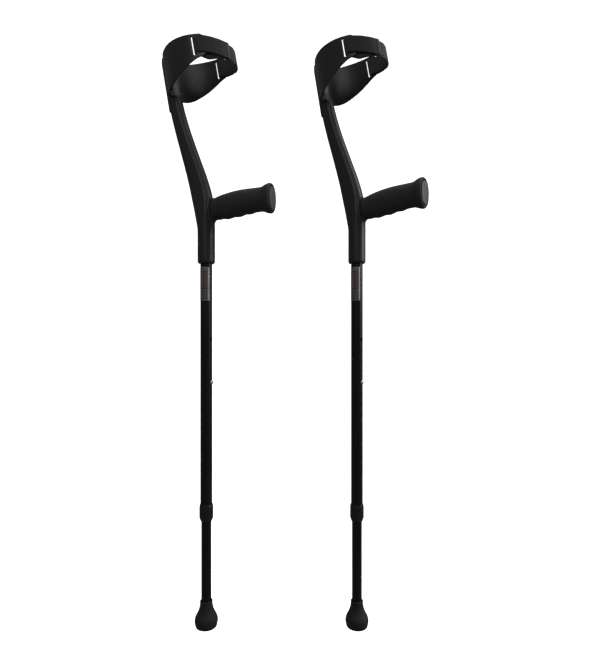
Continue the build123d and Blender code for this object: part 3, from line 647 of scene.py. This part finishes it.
def arm_surface(bore, sleeve_radius, bottom, bottom_round, rows=84, columns=112):
    """The sleeve and the leaning arm as rings in planes that tilt with the arm: up the bore's
    outside, round the lower lip, then a circle that turns into the arm's octagon, and over the
    rounded top."""
    angle = np.linspace(0, TURN, columns, endpoint=False)[None, :]
    lip = np.radians(np.linspace(0, 90, 7))
    lip_radius = sleeve_radius - bottom_round + bottom_round * np.sin(lip)
    lip_height = bottom + bottom_round * (1 - np.cos(lip))
    heights = np.concatenate([np.linspace(bottom + bottom_round + 4, 736, 8), np.linspace(740, 1001, rows)])
    x, lean, depth, width, bevel = eased(ARM_STATIONS, heights)
    shape = octagon_radius(angle, depth[:, None], width[:, None], bevel[:, None])
    turn = smoothstep(heights, ARM_ROUND, ARM_OCTAGON)[:, None]
    radius = sleeve_radius * (1 - turn) + shape * turn
    shrink = np.array([0.985, 0.95, 0.86, 0.4])[:, None]
    rise = np.array([0.9, 1.7, 2.2, 2.4])[:, None]
    start = np.concatenate([np.full(2, bore), lip_radius])[:, None] + 0 * angle
    radius = np.concatenate([start, radius, radius[-1:] * shrink])
    level = np.concatenate([[BORE_TOP, bottom], lip_height, heights, np.full(4, heights[-1])])[:, None]
    lift = np.concatenate([np.zeros((len(level) - 4, 1)), rise])
    centre = np.concatenate([np.zeros(9), x, np.full(4, x[-1])])[:, None]
    tilt = np.radians(np.concatenate([np.zeros(9), lean, np.full(4, lean[-1])]))[:, None]
    forward = radius * np.cos(angle)
    return np.stack([centre + forward * np.cos(tilt) - lift * np.sin(tilt), radius * np.sin(angle),
                     level + forward * np.sin(tilt) + lift * np.cos(tilt)], -1)


def neck_surface(rows=30, columns=80):
    """The neck behind the grip: ovals along X. Towards the sleeve they narrow to less than the arm's
    width, while a cubic flare makes them taller, much more below than above."""
    x = np.linspace(-2, 20.9, rows)
    near = np.clip((21 - x) / 9, 0, 1)
    across, up = superellipse(15.9 - 4.2 * smoothstep(near, 0.0, 1.0), 20.4 + 3.0 * near**2, 2.3, columns)
    below = np.clip(-up / 20.4, 0, 1.4) * (20 * near**3)[:, None]
    squeeze = 1 - 0.25 * np.clip(below / 14, 0, 1)
    return np.stack([x[:, None] + 0 * up, across * squeeze, 781.4 - 0.1 * (21 - x[:, None]) + up - below], -1)


def cuff_back_x(height):
    return CUFF_CENTRE - CUFF_HALF_LENGTH + (CUFF_REFERENCE - height) * CUFF_SHEAR


def spine_surface(width, thickness, top, columns=64):
    """The tongue behind the cuff: rounded-oblong rings up Z. Its front follows the cuff's oval at a
    small gap, its back is flat and thins over the last 18 mm, and the top is rounded."""
    shoulder = top - SPINE_ROUND
    rounding = SPINE_ROUND * np.sin(np.radians(np.linspace(12, 90, 9)))
    height = np.concatenate([np.linspace(SPINE_LOW, shoulder, 40), shoulder + rounding])
    end = np.sqrt(np.clip(1 - ((height - shoulder) / SPINE_ROUND) ** 2, 0, 1))
    half = np.where(height > shoulder, width / 2 - 5 + 5 * end, width / 2)
    across, through = superellipse(np.ones(len(height)), np.ones(len(height)), 7.0, columns)
    y = across * half[:, None]
    bulge = CUFF_HALF_LENGTH * (1 - np.sqrt(1 - (y / CUFF_HALF_WIDTH) ** 2))
    front = cuff_back_x(height)[:, None] + bulge - 0.4
    thinner = 1 - 0.45 * smoothstep(height, top - 18, top - 2)
    back = cuff_back_x(height)[:, None] - thickness * thinner[:, None]
    soft = np.where(height > shoulder, 0.55 + 0.45 * end, 1)[:, None]
    middle, reach = (front + back) / 2, (front - back) / 2 * soft
    return np.stack([middle + through * reach, y, height[:, None] + 0 * y], -1)


def rod_surface(radius, start, end, height, columns=40):
    """A round bar along X at a height, on the handle's plane."""
    angle = np.linspace(0, TURN, columns, endpoint=False)[None, :]
    x = np.linspace(start, end, 3)[:, None]
    return np.stack([x + 0 * angle, radius * np.cos(angle) + 0 * x,
                     height + radius * np.sin(angle) + 0 * x], -1)


class CrutchFrameSettings(bpy.types.PropertyGroup):
    sleeve_diameter: length("Sleeve Diameter", 0.0325, "Outside of the moulded sleeve")
    sleeve_bottom: length("Sleeve Bottom", 0.680, "Height of the sleeve's lower lip")
    lip_round: length("Lip Round", 0.004, "Rounding of the sleeve's lower lip")
    spine_width: length("Spine Width", 0.021, "Width of the tongue behind the cuff")
    spine_thickness: length("Spine Thickness", 0.0046, "Thickness of the tongue")
    voxel: length("Blend Size", 0.00095, "Fineness of the blend where the shapes meet")


class CRUTCH_OT_handle_frames(bpy.types.Operator):
    """Build both one-piece handle frames: sleeve, arm, grip neck and the spine behind the cuff"""
    bl_idname = "crutch.handle_frames"
    bl_label = "Handle Frames"

    def execute(self, context):
        sizes = context.scene.crutch_frame
        for side in SIDES:
            points, faces = np.empty((0, 3)), []
            for shell in (arm_surface(BORE_RADIUS, sizes.sleeve_diameter / MM / 2, sizes.sleeve_bottom / MM,
                                      sizes.lip_round / MM),
                          neck_surface(),
                          spine_surface(sizes.spine_width / MM, sizes.spine_thickness / MM, SPINE_TOP)):
                more, quads = closed_grid(stand(side, shell), len(points))
                points = np.concatenate([points, more])
                faces += quads
            piece = make_object(f"{side}_handle_moulding", points, faces)
            blend = piece.modifiers.new("Blend", "REMESH")
            blend.mode = "VOXEL"
            blend.voxel_size = sizes.voxel
            ease = piece.modifiers.new("Ease", "SMOOTH")
            ease.factor = 0.5
            ease.iterations = 4
            bar = make_object(f"{side}_screw_bar", *closed_grid(stand(side, rod_surface(*SCREW_HOLE))))
            hole = piece.modifiers.new("Screw Hole", "BOOLEAN")
            hole.operation = "DIFFERENCE"
            hole.solver = "EXACT"
            hole.object = bar
            set_mesh(piece, 50)
            bpy.data.objects.remove(bar)
            if len(piece.data.polygons) < 1000:
                raise RuntimeError("the handle frame's blend failed")
            finish_piece(piece, side, "frame", "handle_frame", "frame_plastic")
        return {"FINISHED"}


# ---- grip ----
class CrutchGripSettings(bpy.types.PropertyGroup):
    finger_pitch: length("Finger Pitch", 0.023, "Distance between the finger ridges")
    finger_depth: length("Finger Depth", 0.0008, "Half the depth of the finger hollows")
    cap_gap: length("Cap Gap", 0.0013, "Groove between the grip's lip and its cap")


def grip_surface(pitch, depth, columns=96):
    """The soft grip as ovals along X. Below the middle a cosine along X, faded in at X 26 and out
    at 110, makes the finger hollows. The last rings turn over the flange's lip into the recess."""
    x = np.concatenate([np.linspace(21, 115, 95), np.linspace(115.8, 134, 32)])
    centre, tall, wide = eased(GRIP_STATIONS, x)
    across, up = superellipse(wide / 2, tall / 2, GRIP_OVAL, columns)
    fade = smoothstep(x, 26, 36) * (1 - smoothstep(x, 98, 110))
    ridge = depth * np.cos(TURN * (x - 46) / pitch) * fade
    lower = np.clip(-up / (tall[:, None] / 2), 0, 1) ** 2
    outer = np.stack([x[:, None] + 0 * up, across, centre[:, None] + up - lower * ridge[:, None]], -1)
    inner_x = np.array([134.3, 134.2, 133.7, 132.9, 131.8, 129.5, 129.5])
    inner_wide = np.array([34.6, 33.4, 32.3, 31.4, 30.7, 30.4, 16.0])
    inner_tall = np.array([49.6, 48.2, 46.9, 45.8, 44.9, 44.5, 26.0])
    across, up = superellipse(inner_wide / 2, inner_tall / 2, GRIP_OVAL, columns)
    inner = np.stack([inner_x[:, None] + 0 * up, across, GRIP_AXIS + up], -1)
    return np.concatenate([outer, inner])


def cap_surface(gap, columns=96):
    """The cap: ovals from its back, up its side, over a rounded edge and on to a low dome."""
    share = np.array([1.0, 1.0, 0.995, 0.975, 0.94, 0.85, 0.7, 0.5, 0.25, 0.06])
    x = np.array([129.6, 133.9, 134.4, 134.75, 134.9, 135.0, 135.08, 135.15, 135.2, 135.22])
    across, up = superellipse((15.1 - gap) * share, (22.2 - gap) * share, GRIP_OVAL, columns)
    return np.stack([x[:, None] + 0 * up, across, GRIP_AXIS + up], -1)


class CRUTCH_OT_grips(bpy.types.Operator):
    """Build both soft grips with their finger hollows, end flange and oval cap"""
    bl_idname = "crutch.grips"
    bl_label = "Grips"

    def execute(self, context):
        sizes = context.scene.crutch_grip
        for side in SIDES:
            sleeve = make_object(f"{side}_soft_grip", *closed_grid(
                stand(side, grip_surface(sizes.finger_pitch / MM, sizes.finger_depth / MM))), sharp=50)
            finish_piece(sleeve, side, "frame", "grip_sleeve", "grip_rubber")
            rings = cap_surface(sizes.cap_gap / MM)
            cap = make_object(f"{side}_end_cap", *closed_grid(stand(side, rings)), sharp=50)
            # Face 0 on the side wall gets the near-black painted shade, Face 1 on the end face gets the cap's
            # grey
            face = smoothstep(rings[..., 0].reshape(-1), 134.2, 134.7)
            give_attribute(cap, "Face", np.append(face, [0.0, 1.0]))
            finish_piece(cap, side, "frame", "grip_cap", "cap_plastic")
        return {"FINISHED"}


# ---- cuff ----
class CrutchCuffSettings(bpy.types.PropertyGroup):
    wall: length("Wall", 0.003, "Thickness of the cuff's band")
    edge: length("Edge Round", 0.0009, "Rounding of the rims and slots")
    tip_round: length("Tip Round", 0.007, "Corner radius of the cuff's two tips")


def cuff_surface(wall, tip_round):
    """(points, faces) of the band's middle surface. Columns run round an ellipse from tip to tip,
    closer together at the tips and slots, and rows run from the low rim to the top rim. A rim's
    height is read at the column's X, which shifts with height by the lean, so it is found in a few
    rounds. Rows beside a slot are bent into its rounded ends, and the faces inside it are left out."""
    half_length, half_width = CUFF_HALF_LENGTH - wall / 2, CUFF_HALF_WIDTH - wall / 2
    across_slot = (1 - np.cos(np.radians(np.linspace(0, 180, 9)))) / 2
    plan = np.concatenate([CUFF_TIP - tip_round * (1 - np.cos(np.radians(np.linspace(0, 90, 9)))),
                           np.linspace(CUFF_TIP - tip_round, SLOT_FRONT, 8)[1:-1],
                           SLOT_FRONT + (SLOT_BACK - SLOT_FRONT) * across_slot])
    angle = np.arccos((plan - CUFF_CENTRE) / half_length)
    angle = np.concatenate([-angle, -np.linspace(angle[-1], math.pi, 46)[1:-1]])
    angle = np.concatenate([angle, [math.pi], -angle[::-1]])
    x = CUFF_CENTRE + half_length * np.cos(angle)
    y = half_width * np.sin(angle)
    low, high = np.full(len(x), 1040.0), np.full(len(x), 1086.0)
    for _ in range(8):
        high = eased(CUFF_TOP_EDGE, x + (CUFF_REFERENCE - high) * CUFF_SHEAR)[0]
        low = eased(CUFF_LOW_EDGE, x + (CUFF_REFERENCE - low) * CUFF_SHEAR)[0]
    past = np.clip(x - (CUFF_TIP - tip_round), 0, tip_round)
    corner = tip_round - np.sqrt(tip_round**2 - past**2)
    low, high = low + corner, high - corner
    half_slot = (SLOT_FRONT - SLOT_BACK) / 2
    aside = (x - (SLOT_FRONT + SLOT_BACK) / 2) / half_slot
    bend = half_slot * (1 - np.sqrt(np.clip(1 - np.clip(np.abs(aside), 0, 1) ** 2, 0, 1)))
    near = 1 - smoothstep(np.abs(aside), 1.4, 9.0)
    at_slot = np.argmin(np.abs(aside))
    share = (np.array([SLOT_LOW, SLOT_HIGH]) - low[at_slot]) / (high[at_slot] - low[at_slot])
    first = near * (SLOT_LOW + bend) + (1 - near) * (low + (high - low) * share[0])
    second = near * (SLOT_HIGH - bend) + (1 - near) * (low + (high - low) * share[1])
    first, second = np.maximum(first, low + 1.5), np.minimum(second, high - 1.2)
    parts = [low + (first - low) * t for t in np.linspace(0, 1, 6)]
    parts += [first + (second - first) * t for t in np.linspace(0, 1, 15)[1:]]
    parts += [second + (high - second) * t for t in np.linspace(0, 1, 4)[1:]]
    z = np.stack(parts)
    points = np.stack([x + (CUFF_REFERENCE - z) * CUFF_SHEAR, y + 0 * z, z], -1)
    faces = grid_faces(len(z), len(x), False)
    row, column = faces[:, 0] // len(x), faces[:, 0] % len(x)
    middle = (x[column] + x[column + 1]) / 2
    open_slot = (row >= 5) & (row < 19) & (middle > SLOT_BACK) & (middle < SLOT_FRONT)
    return points.reshape(-1, 3), faces[~open_slot]


class CRUTCH_OT_cuffs(bpy.types.Operator):
    """Build both oval forearm cuffs with their strap slots and rounded rims"""
    bl_idname = "crutch.cuffs"
    bl_label = "Cuffs"

    def execute(self, context):
        sizes = context.scene.crutch_cuff
        for side in SIDES:
            points, faces = cuff_surface(sizes.wall / MM, sizes.tip_round / MM)
            piece = make_object(f"{side}_arm_cuff", stand(side, points), faces)
            drop_loose(piece)
            thick = piece.modifiers.new("Wall", "SOLIDIFY")
            thick.thickness = sizes.wall
            thick.offset = 0
            thick.use_even_offset = True
            soft = piece.modifiers.new("Edge", "BEVEL")
            soft.width = sizes.edge
            soft.segments = 3
            soft.limit_method = "ANGLE"
            soft.angle_limit = math.radians(50)
            set_mesh(piece, 40)
            turn_outwards(piece)
            finish_piece(piece, side, "frame", "cuff", "cuff_plastic")
        return {"FINISHED"}


# ---- strap ----
class CrutchStrapSettings(bpy.types.PropertyGroup):
    width: length("Width", 0.031, "Width of the webbing")
    thickness: length("Thickness", 0.0018, "Thickness of the webbing")
    gap: length("Gap", 0.0004, "Room between the webbing and the cuff's wall")
    hem: length("Hem", 0.0055, "Length of the stitched hem at the tab's end")


def run_length(line):
    """The distance along a plan line at each of its points."""
    return np.concatenate([[0], np.cumsum(np.hypot(*np.diff(line, axis=0).T))])


def to_outside(line):
    """The unit vector to a plan line's outer side at each of its points."""
    step = np.gradient(line, axis=0)
    step /= np.hypot(*step.T)[:, None]
    return np.stack([step[:, 1], -step[:, 0]], -1)


def shifted(line, offset):
    """A plan line moved sideways to its outer side."""
    return line + to_outside(line) * offset


def resampled(points, count):
    """The same plan line with evenly spaced points, read by length along it."""
    reached = run_length(points)
    spots = np.linspace(0, reached[-1], count)
    return np.stack([np.interp(spots, reached, points[:, n]) for n in (0, 1)], -1)


def through(points, count):
    """A smooth plan line through points: cubic in the distance along them."""
    reached = run_length(points)
    return np.stack(eased(np.column_stack([reached, points]), np.linspace(0, reached[-1], count)), -1)


def beside_wall(x, offset):
    """Half width at X of the cuff's outer oval grown by offset."""
    return (CUFF_HALF_WIDTH + offset) * np.sqrt(1 - ((x - CUFF_CENTRE) / (CUFF_HALF_LENGTH + offset)) ** 2)


def u_turn(wall, gap, thickness, sign, count=17):
    """Half a rounded square round the slot's front edge, from the outside of the wall to the inside."""
    reach = gap + thickness / 2
    half = wall / 2 + reach
    mid_x = SLOT_FRONT - reach + half
    angle = np.radians(np.linspace(90, 270, count))
    shape = 2 / 2.7
    x = mid_x - half * np.abs(np.cos(angle)) ** shape
    out = half * eased_power(np.sin(angle), shape)
    return np.stack([x, sign * (beside_wall(x, -wall / 2) + out)], -1)


def strap_path(wall, gap, thickness):
    """The strap's middle line in plan: short outer leg, near turn, inner leg, the front, and the
    same again on the far side, whose outer leg comes to rest on the strap."""
    reach = gap + thickness / 2
    near = u_turn(wall, gap, thickness, -1)
    far = u_turn(wall, gap, thickness, 1)[::-1]
    half = np.array(STRAP_PLAN)
    half[:3, 1] = -beside_wall(half[:3, 0], -wall - reach)
    half = half[half[:, 0] > near[-1, 0] + 3]
    front = np.concatenate([near[-1:], half, (half * [1, -1])[-2::-1], far[:1]])
    front = through(front, 150)
    leg_x = np.linspace(1.2, near[0, 0] + 0.3, 4)
    leg = np.stack([leg_x, -beside_wall(leg_x, reach)], -1)
    back_x = np.array([far[-1, 0] + 3, 8.0, 13.0, 18.0])
    back = np.concatenate([far[-1:], np.stack([back_x, beside_wall(back_x, reach)], -1),
                           [[26.0, 37.3], [33.5, 32.8]]])
    line = np.concatenate([leg, near, front[1:-1], far[:-1], through(back, 40)])
    return resampled(line, 330)


def band_surface(line, sides, width, thickness, taper=1.2, hem=0.0, columns=28):
    """A flat band carried along a plan line: each ring is a rounded oblong, thickness across the
    line and width up the cuff's lean, with its middle at the height that the side view gives, which
    has one curve for the near half and one for the far half. The first and last rings thin out over
    taper, and the band is half as thick again over the hem at its end. Returns the points, (length,
    height) in millimetres, and each ring's distance from the end."""
    normal, reached = to_outside(line), run_length(line)
    to_end = reached[-1] - reached
    end = np.sqrt(np.clip(1 - (1 - np.clip(np.minimum(reached, to_end) / taper, 0.02, 1)) ** 2, 0, 1))
    doubled = 1 + 0.5 * (1 - smoothstep(to_end, hem, hem + 0.8)) * (hem > 0)
    angle = np.linspace(0, TURN, columns, endpoint=False)
    out = (end * doubled * thickness / 2)[:, None] * eased_power(np.cos(angle), 0.4)
    up = eased_power(np.sin(angle), 0.22) * (width / 2 - 0.7 * (1 - end))[:, None]
    out = out + (doubled - 1)[:, None] * thickness / 2
    middles = []
    for side_line in sides:
        middle = np.full(len(line), 1065.0)
        for _ in range(4):
            middle = eased(side_line, line[:, 0] + (CUFF_REFERENCE - middle) * CUFF_SHEAR)[0]
        middles.append(middle)
    z = np.where(line[:, 1] < 0, *middles)[:, None] + up
    x = line[:, :1] + normal[:, :1] * out + (CUFF_REFERENCE - z) * CUFF_SHEAR
    y = line[:, 1:] + normal[:, 1:] * out
    return np.stack([x, y, z], -1), np.stack([reached[:, None] + 0 * up, up], -1), to_end


def tab_path(gap, thickness, strap_front):
    """The tab's middle line in plan: along the cuff's outside, then beside the strap's front run."""
    reach = gap + thickness / 2
    x = np.array([1.2, 4.0, 8.0, 12.0, 16.0])
    wall = np.stack([x, -beside_wall(x, reach)], -1)
    return through(np.concatenate([wall, strap_front]), 90)


def make_band(side, name, body, node, finish, line, sides, width, thickness, taper=1.2, hem=0.0):
    points, chart, to_end = band_surface(line, sides, width, thickness, taper, hem)
    spots, faces = closed_grid(stand(side, points))
    piece = make_object(f"{side}_{name}", spots, faces, sharp=60)
    ends = np.array([chart[0].mean(0), chart[-1].mean(0)])
    give_uv(piece, np.concatenate([chart.reshape(-1, 2), ends]))
    if hem:
        share = np.clip(1 - to_end / hem, 0, 1)
        give_attribute(piece, "Hem", np.concatenate([np.repeat(share, points.shape[1]), [0.0, 1.0]]))
    return finish_piece(piece, side, body, node, finish)


class CRUTCH_OT_straps(bpy.types.Operator):
    """Build both closing straps with their doubled tabs and the hook and loop tape between them"""
    bl_idname = "crutch.straps"
    bl_label = "Straps"

    def execute(self, context):
        sizes = context.scene.crutch_strap
        wall = context.scene.crutch_cuff.wall / MM
        width, thickness, gap = sizes.width / MM, sizes.thickness / MM, sizes.gap / MM
        half = np.array(STRAP_PLAN)
        half[:3, 1] = -beside_wall(half[:3, 0], -wall - gap - thickness / 2)
        full = through(np.concatenate([half, (half * [1, -1])[-2::-1]]), 400)
        outside = shifted(full, TAB_CLEAR)
        strap_sides, tab_sides = (STRAP_NEAR_SIDE, STRAP_FAR_SIDE), (TAB_SIDE, TAB_SIDE)
        lift = thickness / 2 + TAPE_LIFT
        tape = (width - TAPE_INSET, TAPE_THICKNESS, TAPE_LIFT)
        for side in SIDES:
            make_band(side, "closing_strap", "frame", "strap", "strap_webbing",
                      strap_path(wall, gap, thickness), strap_sides, width, thickness)
            run = tab_path(gap, thickness, outside[TAB_MARKS])
            tab = make_band(side, "strap_end_tab", None, "strap_tab", "strap_webbing",
                            run, tab_sides, width, thickness, hem=sizes.hem / MM)
            hinge = stand(side, [HINGE_START, HINGE_END])
            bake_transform(tab)
            make_band(side, "hook_tape", "tab", "hook_patch", "hook_tape",
                      shifted(run, -lift)[HOOK_RUN], tab_sides, *tape)
            make_band(side, "loop_tape", "frame", "loop_patch", "loop_tape",
                      shifted(full, lift)[LOOP_RUN], strap_sides, *tape)
        return {"FINISHED"}


# ---- tube fittings ----
class CrutchFittingSettings(bpy.types.PropertyGroup):
    collar_diameter: length("Collar Diameter", 0.0258, "Outside of the collar")
    tread_depth: length("Tread Depth", 0.0022, "Depth of the rings under the foot")


def foot_profile(tread):
    """(radius, height) pairs under the foot across its tread rings, up its side and down its socket."""
    under = [(0.4, 0.0), (5.2, 0.0), (5.7, 0.5), (5.8, tread), (8.0, tread), (8.1, 0.5), (8.6, 0.0),
             (10.0, 0.0), (10.5, 0.5), (10.6, tread), (12.8, tread), (12.9, 0.5), (13.4, 0.0)]
    socket = [(9.75, 48.7), (9.4, 47.8), (9.36, 14.0), (0.4, 14.0)]
    side = np.array(FOOT_SIDE)
    place = np.arange(len(side), dtype=float)
    fine = np.stack(eased(np.column_stack([place, side]), np.linspace(0, len(side) - 1, 121)), -1)
    return np.concatenate([under, fine, socket])


def collar_profile(radius):
    """(radius, height) pairs up the collar's tapered outside and down its stepped bore."""
    return [(9.42, 198.3), (9.7, 198.0), (10.3, 198.05), (10.7, 198.5), (radius - 0.5, 203.3),
            (radius - 0.12, 204.1), (radius, 205.1), (radius, 224.2), (radius - 0.12, 225.1),
            (radius - 0.5, 226.0), (12.1, 229.0), (11.8, 229.45), (11.4, 229.5), (11.06, 229.3),
            (11.06, 206.0), (9.42, 206.0), (9.42, 199.0)]


class CRUTCH_OT_fittings(bpy.types.Operator):
    """Build the rubber feet, the collars and the foil labels on the tubes"""
    bl_idname = "crutch.fittings"
    bl_label = "Feet, Collars and Labels"

    def execute(self, context):
        sizes = context.scene.crutch_fitting
        for side in SIDES:
            foot = make_object(f"{side}_rubber_foot", *closed_grid(
                stand(side, lathe(foot_profile(sizes.tread_depth / MM)))), sharp=55)
            finish_piece(foot, side, "leg", "foot", "foot_rubber")
            ring = lathe(collar_profile(sizes.collar_diameter / MM / 2))
            faces = grid_faces(*ring.shape[:2], True)
            count = ring.shape[1]
            last = (len(ring) - 1) * count
            step = np.arange(count)
            seam = np.stack([last + step, last + (step + 1) % count, (step + 1) % count, step], -1)
            collar = make_object(f"{side}_end_collar", stand(side, ring).reshape(-1, 3),
                                 np.concatenate([faces, seam]), sharp=40)
            turn_outwards(collar)
            finish_piece(collar, side, "frame", "collar", "collar_plastic")
            self.make_label(side)
        return {"FINISHED"}

    def make_label(self, side):
        """The label: an arc about the tube, centred on the -Y side, drawn as rings that run out
        along the arc's outside and back along its inside."""
        share = np.linspace(0, 1, 40)
        angle = np.radians(-90 + LABEL_SWEEP * (share - 0.5))
        out = LABEL_OUTSIDE - 0.2 * (1 - np.clip(np.minimum(share, 1 - share) / 0.02, 0, 1))
        arc = np.concatenate([angle, angle[::-1]])[None, :]
        radius = np.concatenate([out, np.full(len(share), LABEL_INSIDE)])[None, :]
        middle = (LABEL_LOW + LABEL_HIGH) / 2
        height = np.array([LABEL_LOW, LABEL_LOW + 0.2, middle, LABEL_HIGH - 0.2, LABEL_HIGH])[:, None]
        points = np.stack([radius * np.cos(arc) + 0 * height, radius * np.sin(arc) + 0 * height,
                           height + 0 * arc], -1)
        spots, faces = closed_grid(stand(side, points))
        label = make_object(f"{side}_tube_label", spots, faces, sharp=40)
        chart = np.stack([np.concatenate([share, share[::-1]])[None, :] + 0 * height,
                          (height - LABEL_LOW) / (LABEL_HIGH - LABEL_LOW) + 0 * arc], -1)
        give_uv(label, np.concatenate([chart.reshape(-1, 2), [[0.5, 0.0], [0.5, 1.0]]]))
        finish_piece(label, side, "frame", "rating_label", "label_foil")


# ---- carried-over CAD nodes ----
CARRIED = {
    "leg_tube": "black_tube", "outer_tube": "black_tube",
    "leg_bush": "black_moulding", "tube_plug": "black_moulding",
    "snap_button": "bright_steel", "button_leaf": "spring_steel", "spring_heel": "spring_steel",
    "foot_washer": "bright_steel", "sleeve_screw": "dark_steel", "grip_screw": "bright_steel",
    "cuff_screws": "dark_steel", "cuff_nuts": "dark_steel",
}


class CRUTCH_OT_finishes(bpy.types.Operator):
    """Give the tubes, springs, screws and nuts their finishes"""
    bl_idname = "crutch.finishes"
    bl_label = "Tube and Hardware Finishes"

    def execute(self, context):
        for side in SIDES:
            for node, finish in CARRIED.items():
                piece = NODES[f"{side}_{node}"]
                if not piece.material_slots:
                    raise RuntimeError(f"{piece.name} has no material slot")
                for slot in piece.material_slots:
                    slot.material = finish_material(finish)
        return {"FINISHED"}


# ---- stage ----
class CrutchStageSettings(bpy.types.PropertyGroup):
    backdrop: bpy.props.FloatVectorProperty(name="Backdrop", description="Colour of the floor and backdrop",
                                            default=(0.86, 0.86, 0.86), subtype="COLOR", size=3, min=0, max=1)
    floor_drop: length("Floor Drop", 0.165, "Depth of the floor below the feet: room for the drawn-out legs")
    light: bpy.props.FloatProperty(name="Light", description="Strength of the soft boxes", default=1.0, min=0)
    glow: bpy.props.FloatProperty(name="Backdrop Glow", default=1.0, min=0,
                                  description="Light that the backdrop gives off itself")
    ambient: bpy.props.FloatProperty(name="Ambient", description="Strength of the light from all round",
                                     default=0.15, min=0)


def backdrop_surface(floor):
    """A sheet that lies flat in front, then curves up a quarter circle into a wall behind."""
    turn = np.radians(np.linspace(0, 90, 24))
    y = np.concatenate([np.linspace(-4.0, 1.6, 12), 1.6 + 1.2 * np.sin(turn)[1:], np.full(6, 2.8)])
    z = np.concatenate([np.zeros(12), 1.2 * (1 - np.cos(turn))[1:], np.linspace(1.4, 6.0, 6)])
    x = np.linspace(-5, 5, 21)[None, :]
    return np.stack([x + 0 * y[:, None], y[:, None] + 0 * x, floor - 0.0002 + z[:, None] + 0 * x], -1)


def soft_box(name, place, aim, size, power):
    data = bpy.data.lights.new(name, "AREA")
    data.shape = "RECTANGLE"
    data.size, data.size_y = size
    data.energy = power
    box = bpy.data.objects.new(name, data)
    box.location = place
    box.rotation_euler = (Vector(aim) - Vector(place)).to_track_quat("-Z", "Y").to_euler()
    bpy.context.scene.collection.objects.link(box)


class CRUTCH_OT_stage(bpy.types.Operator):
    """Set up the pale backdrop, the soft lights and the camera"""
    bl_idname = "crutch.stage"
    bl_label = "Stage"

    def execute(self, context):
        scene = context.scene
        sizes = scene.crutch_stage
        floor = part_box("left_foot")[0].z - sizes.floor_drop
        points = backdrop_surface(floor)
        sheet = make_object("backdrop", points.reshape(-1, 3), grid_faces(*points.shape[:2], False)[:, ::-1])
        colour = tuple(sizes.backdrop)
        paper = Finish("backdrop_paper", colour, 0.9, Specular_IOR_Level=0.1)
        grain = paper.group("Moulded Grain", Grain_Scale=300.0, Wear_Scale=1.5)
        paper.blend(grain["Wear"], colour, tuple(0.985 * part for part in colour), "Base Color")
        paper.inputs["Emission Color"].default_value = (1, 1, 1, 1)
        paper.inputs["Emission Strength"].default_value = sizes.glow
        sheet.data.materials.append(paper.material)
        sheet.visible_glossy = sheet.visible_diffuse = False
        middle = (0.1, 0.0, -0.2)
        power = sizes.light
        for args in (("key_box", (2.1, -0.15, 0.9), middle, (1.1, 2.2), 46 * power),
                     ("front_box", (-0.5, -2.3, 1.5), middle, (1.6, 1.2), 20 * power),
                     ("top_box", (0.1, 0.3, 2.2), middle, (2.4, 1.6), 18 * power)):
            soft_box(*args)
        world = bpy.data.worlds.new("Studio")
        world.use_nodes = True
        net = Net(world.node_tree)
        colour, strength = net.nodes["Background"].inputs[:2]
        colour.default_value = (1, 1, 1, 1)
        seen = net.nodes.new("ShaderNodeLightPath").outputs["Is Camera Ray"]
        net.links.new(net.math("MULTIPLY_ADD", seen, 1.0 - sizes.ambient, sizes.ambient), strength)
        scene.world = world
        scene.view_settings.view_transform = "Standard"
        data = bpy.data.cameras.new("camera")
        data.lens = 27.2
        data.sensor_width = 36.0
        data.clip_start = 0.01
        camera = bpy.data.objects.new("camera", data)
        camera.location = (0.1119, -0.9174, -0.2338)
        camera.rotation_euler = (math.radians(90), 0, 0)
        scene.collection.objects.link(camera)
        scene.camera = camera
        return {"FINISHED"}


# ---- add-on ----
OPERATORS = (CRUTCH_OT_handle_frames, CRUTCH_OT_grips, CRUTCH_OT_cuffs, CRUTCH_OT_straps, CRUTCH_OT_fittings,
             CRUTCH_OT_finishes, CRUTCH_OT_stage)
SETTINGS = {"crutch_frame": CrutchFrameSettings, "crutch_grip": CrutchGripSettings,
            "crutch_cuff": CrutchCuffSettings, "crutch_strap": CrutchStrapSettings,
            "crutch_fitting": CrutchFittingSettings, "crutch_stage": CrutchStageSettings}


class CRUTCH_PT_panel(bpy.types.Panel):
    bl_idname = "CRUTCH_PT_panel"
    bl_label = "Forearm Crutches"
    bl_space_type = "VIEW_3D"
    bl_region_type = "UI"
    bl_category = "Crutches"

    def draw(self, context):
        for name, group in SETTINGS.items():
            box = self.layout.box()
            box.label(text=name.replace("_", " ").title())
            for label in group.__annotations__:
                box.prop(getattr(context.scene, name), label)
        for operator in OPERATORS:
            self.layout.operator(operator.bl_idname)


def register():
    for name, group in SETTINGS.items():
        bpy.utils.register_class(group)
        setattr(bpy.types.Scene, name, bpy.props.PointerProperty(type=group))
    for item in (*OPERATORS, CRUTCH_PT_panel):
        bpy.utils.register_class(item)


def unregister():
    for item in (CRUTCH_PT_panel, *reversed(OPERATORS)):
        bpy.utils.unregister_class(item)
    for name, group in reversed(SETTINGS.items()):
        delattr(bpy.types.Scene, name)
        bpy.utils.unregister_class(group)


def main():
    register()
    for operator in OPERATORS:
        group, name = operator.bl_idname.split(".")
        if getattr(getattr(bpy.ops, group), name)() != {"FINISHED"}:
            raise RuntimeError(f"{operator.bl_label} did not finish")


if __name__ == "__main__":
    main()
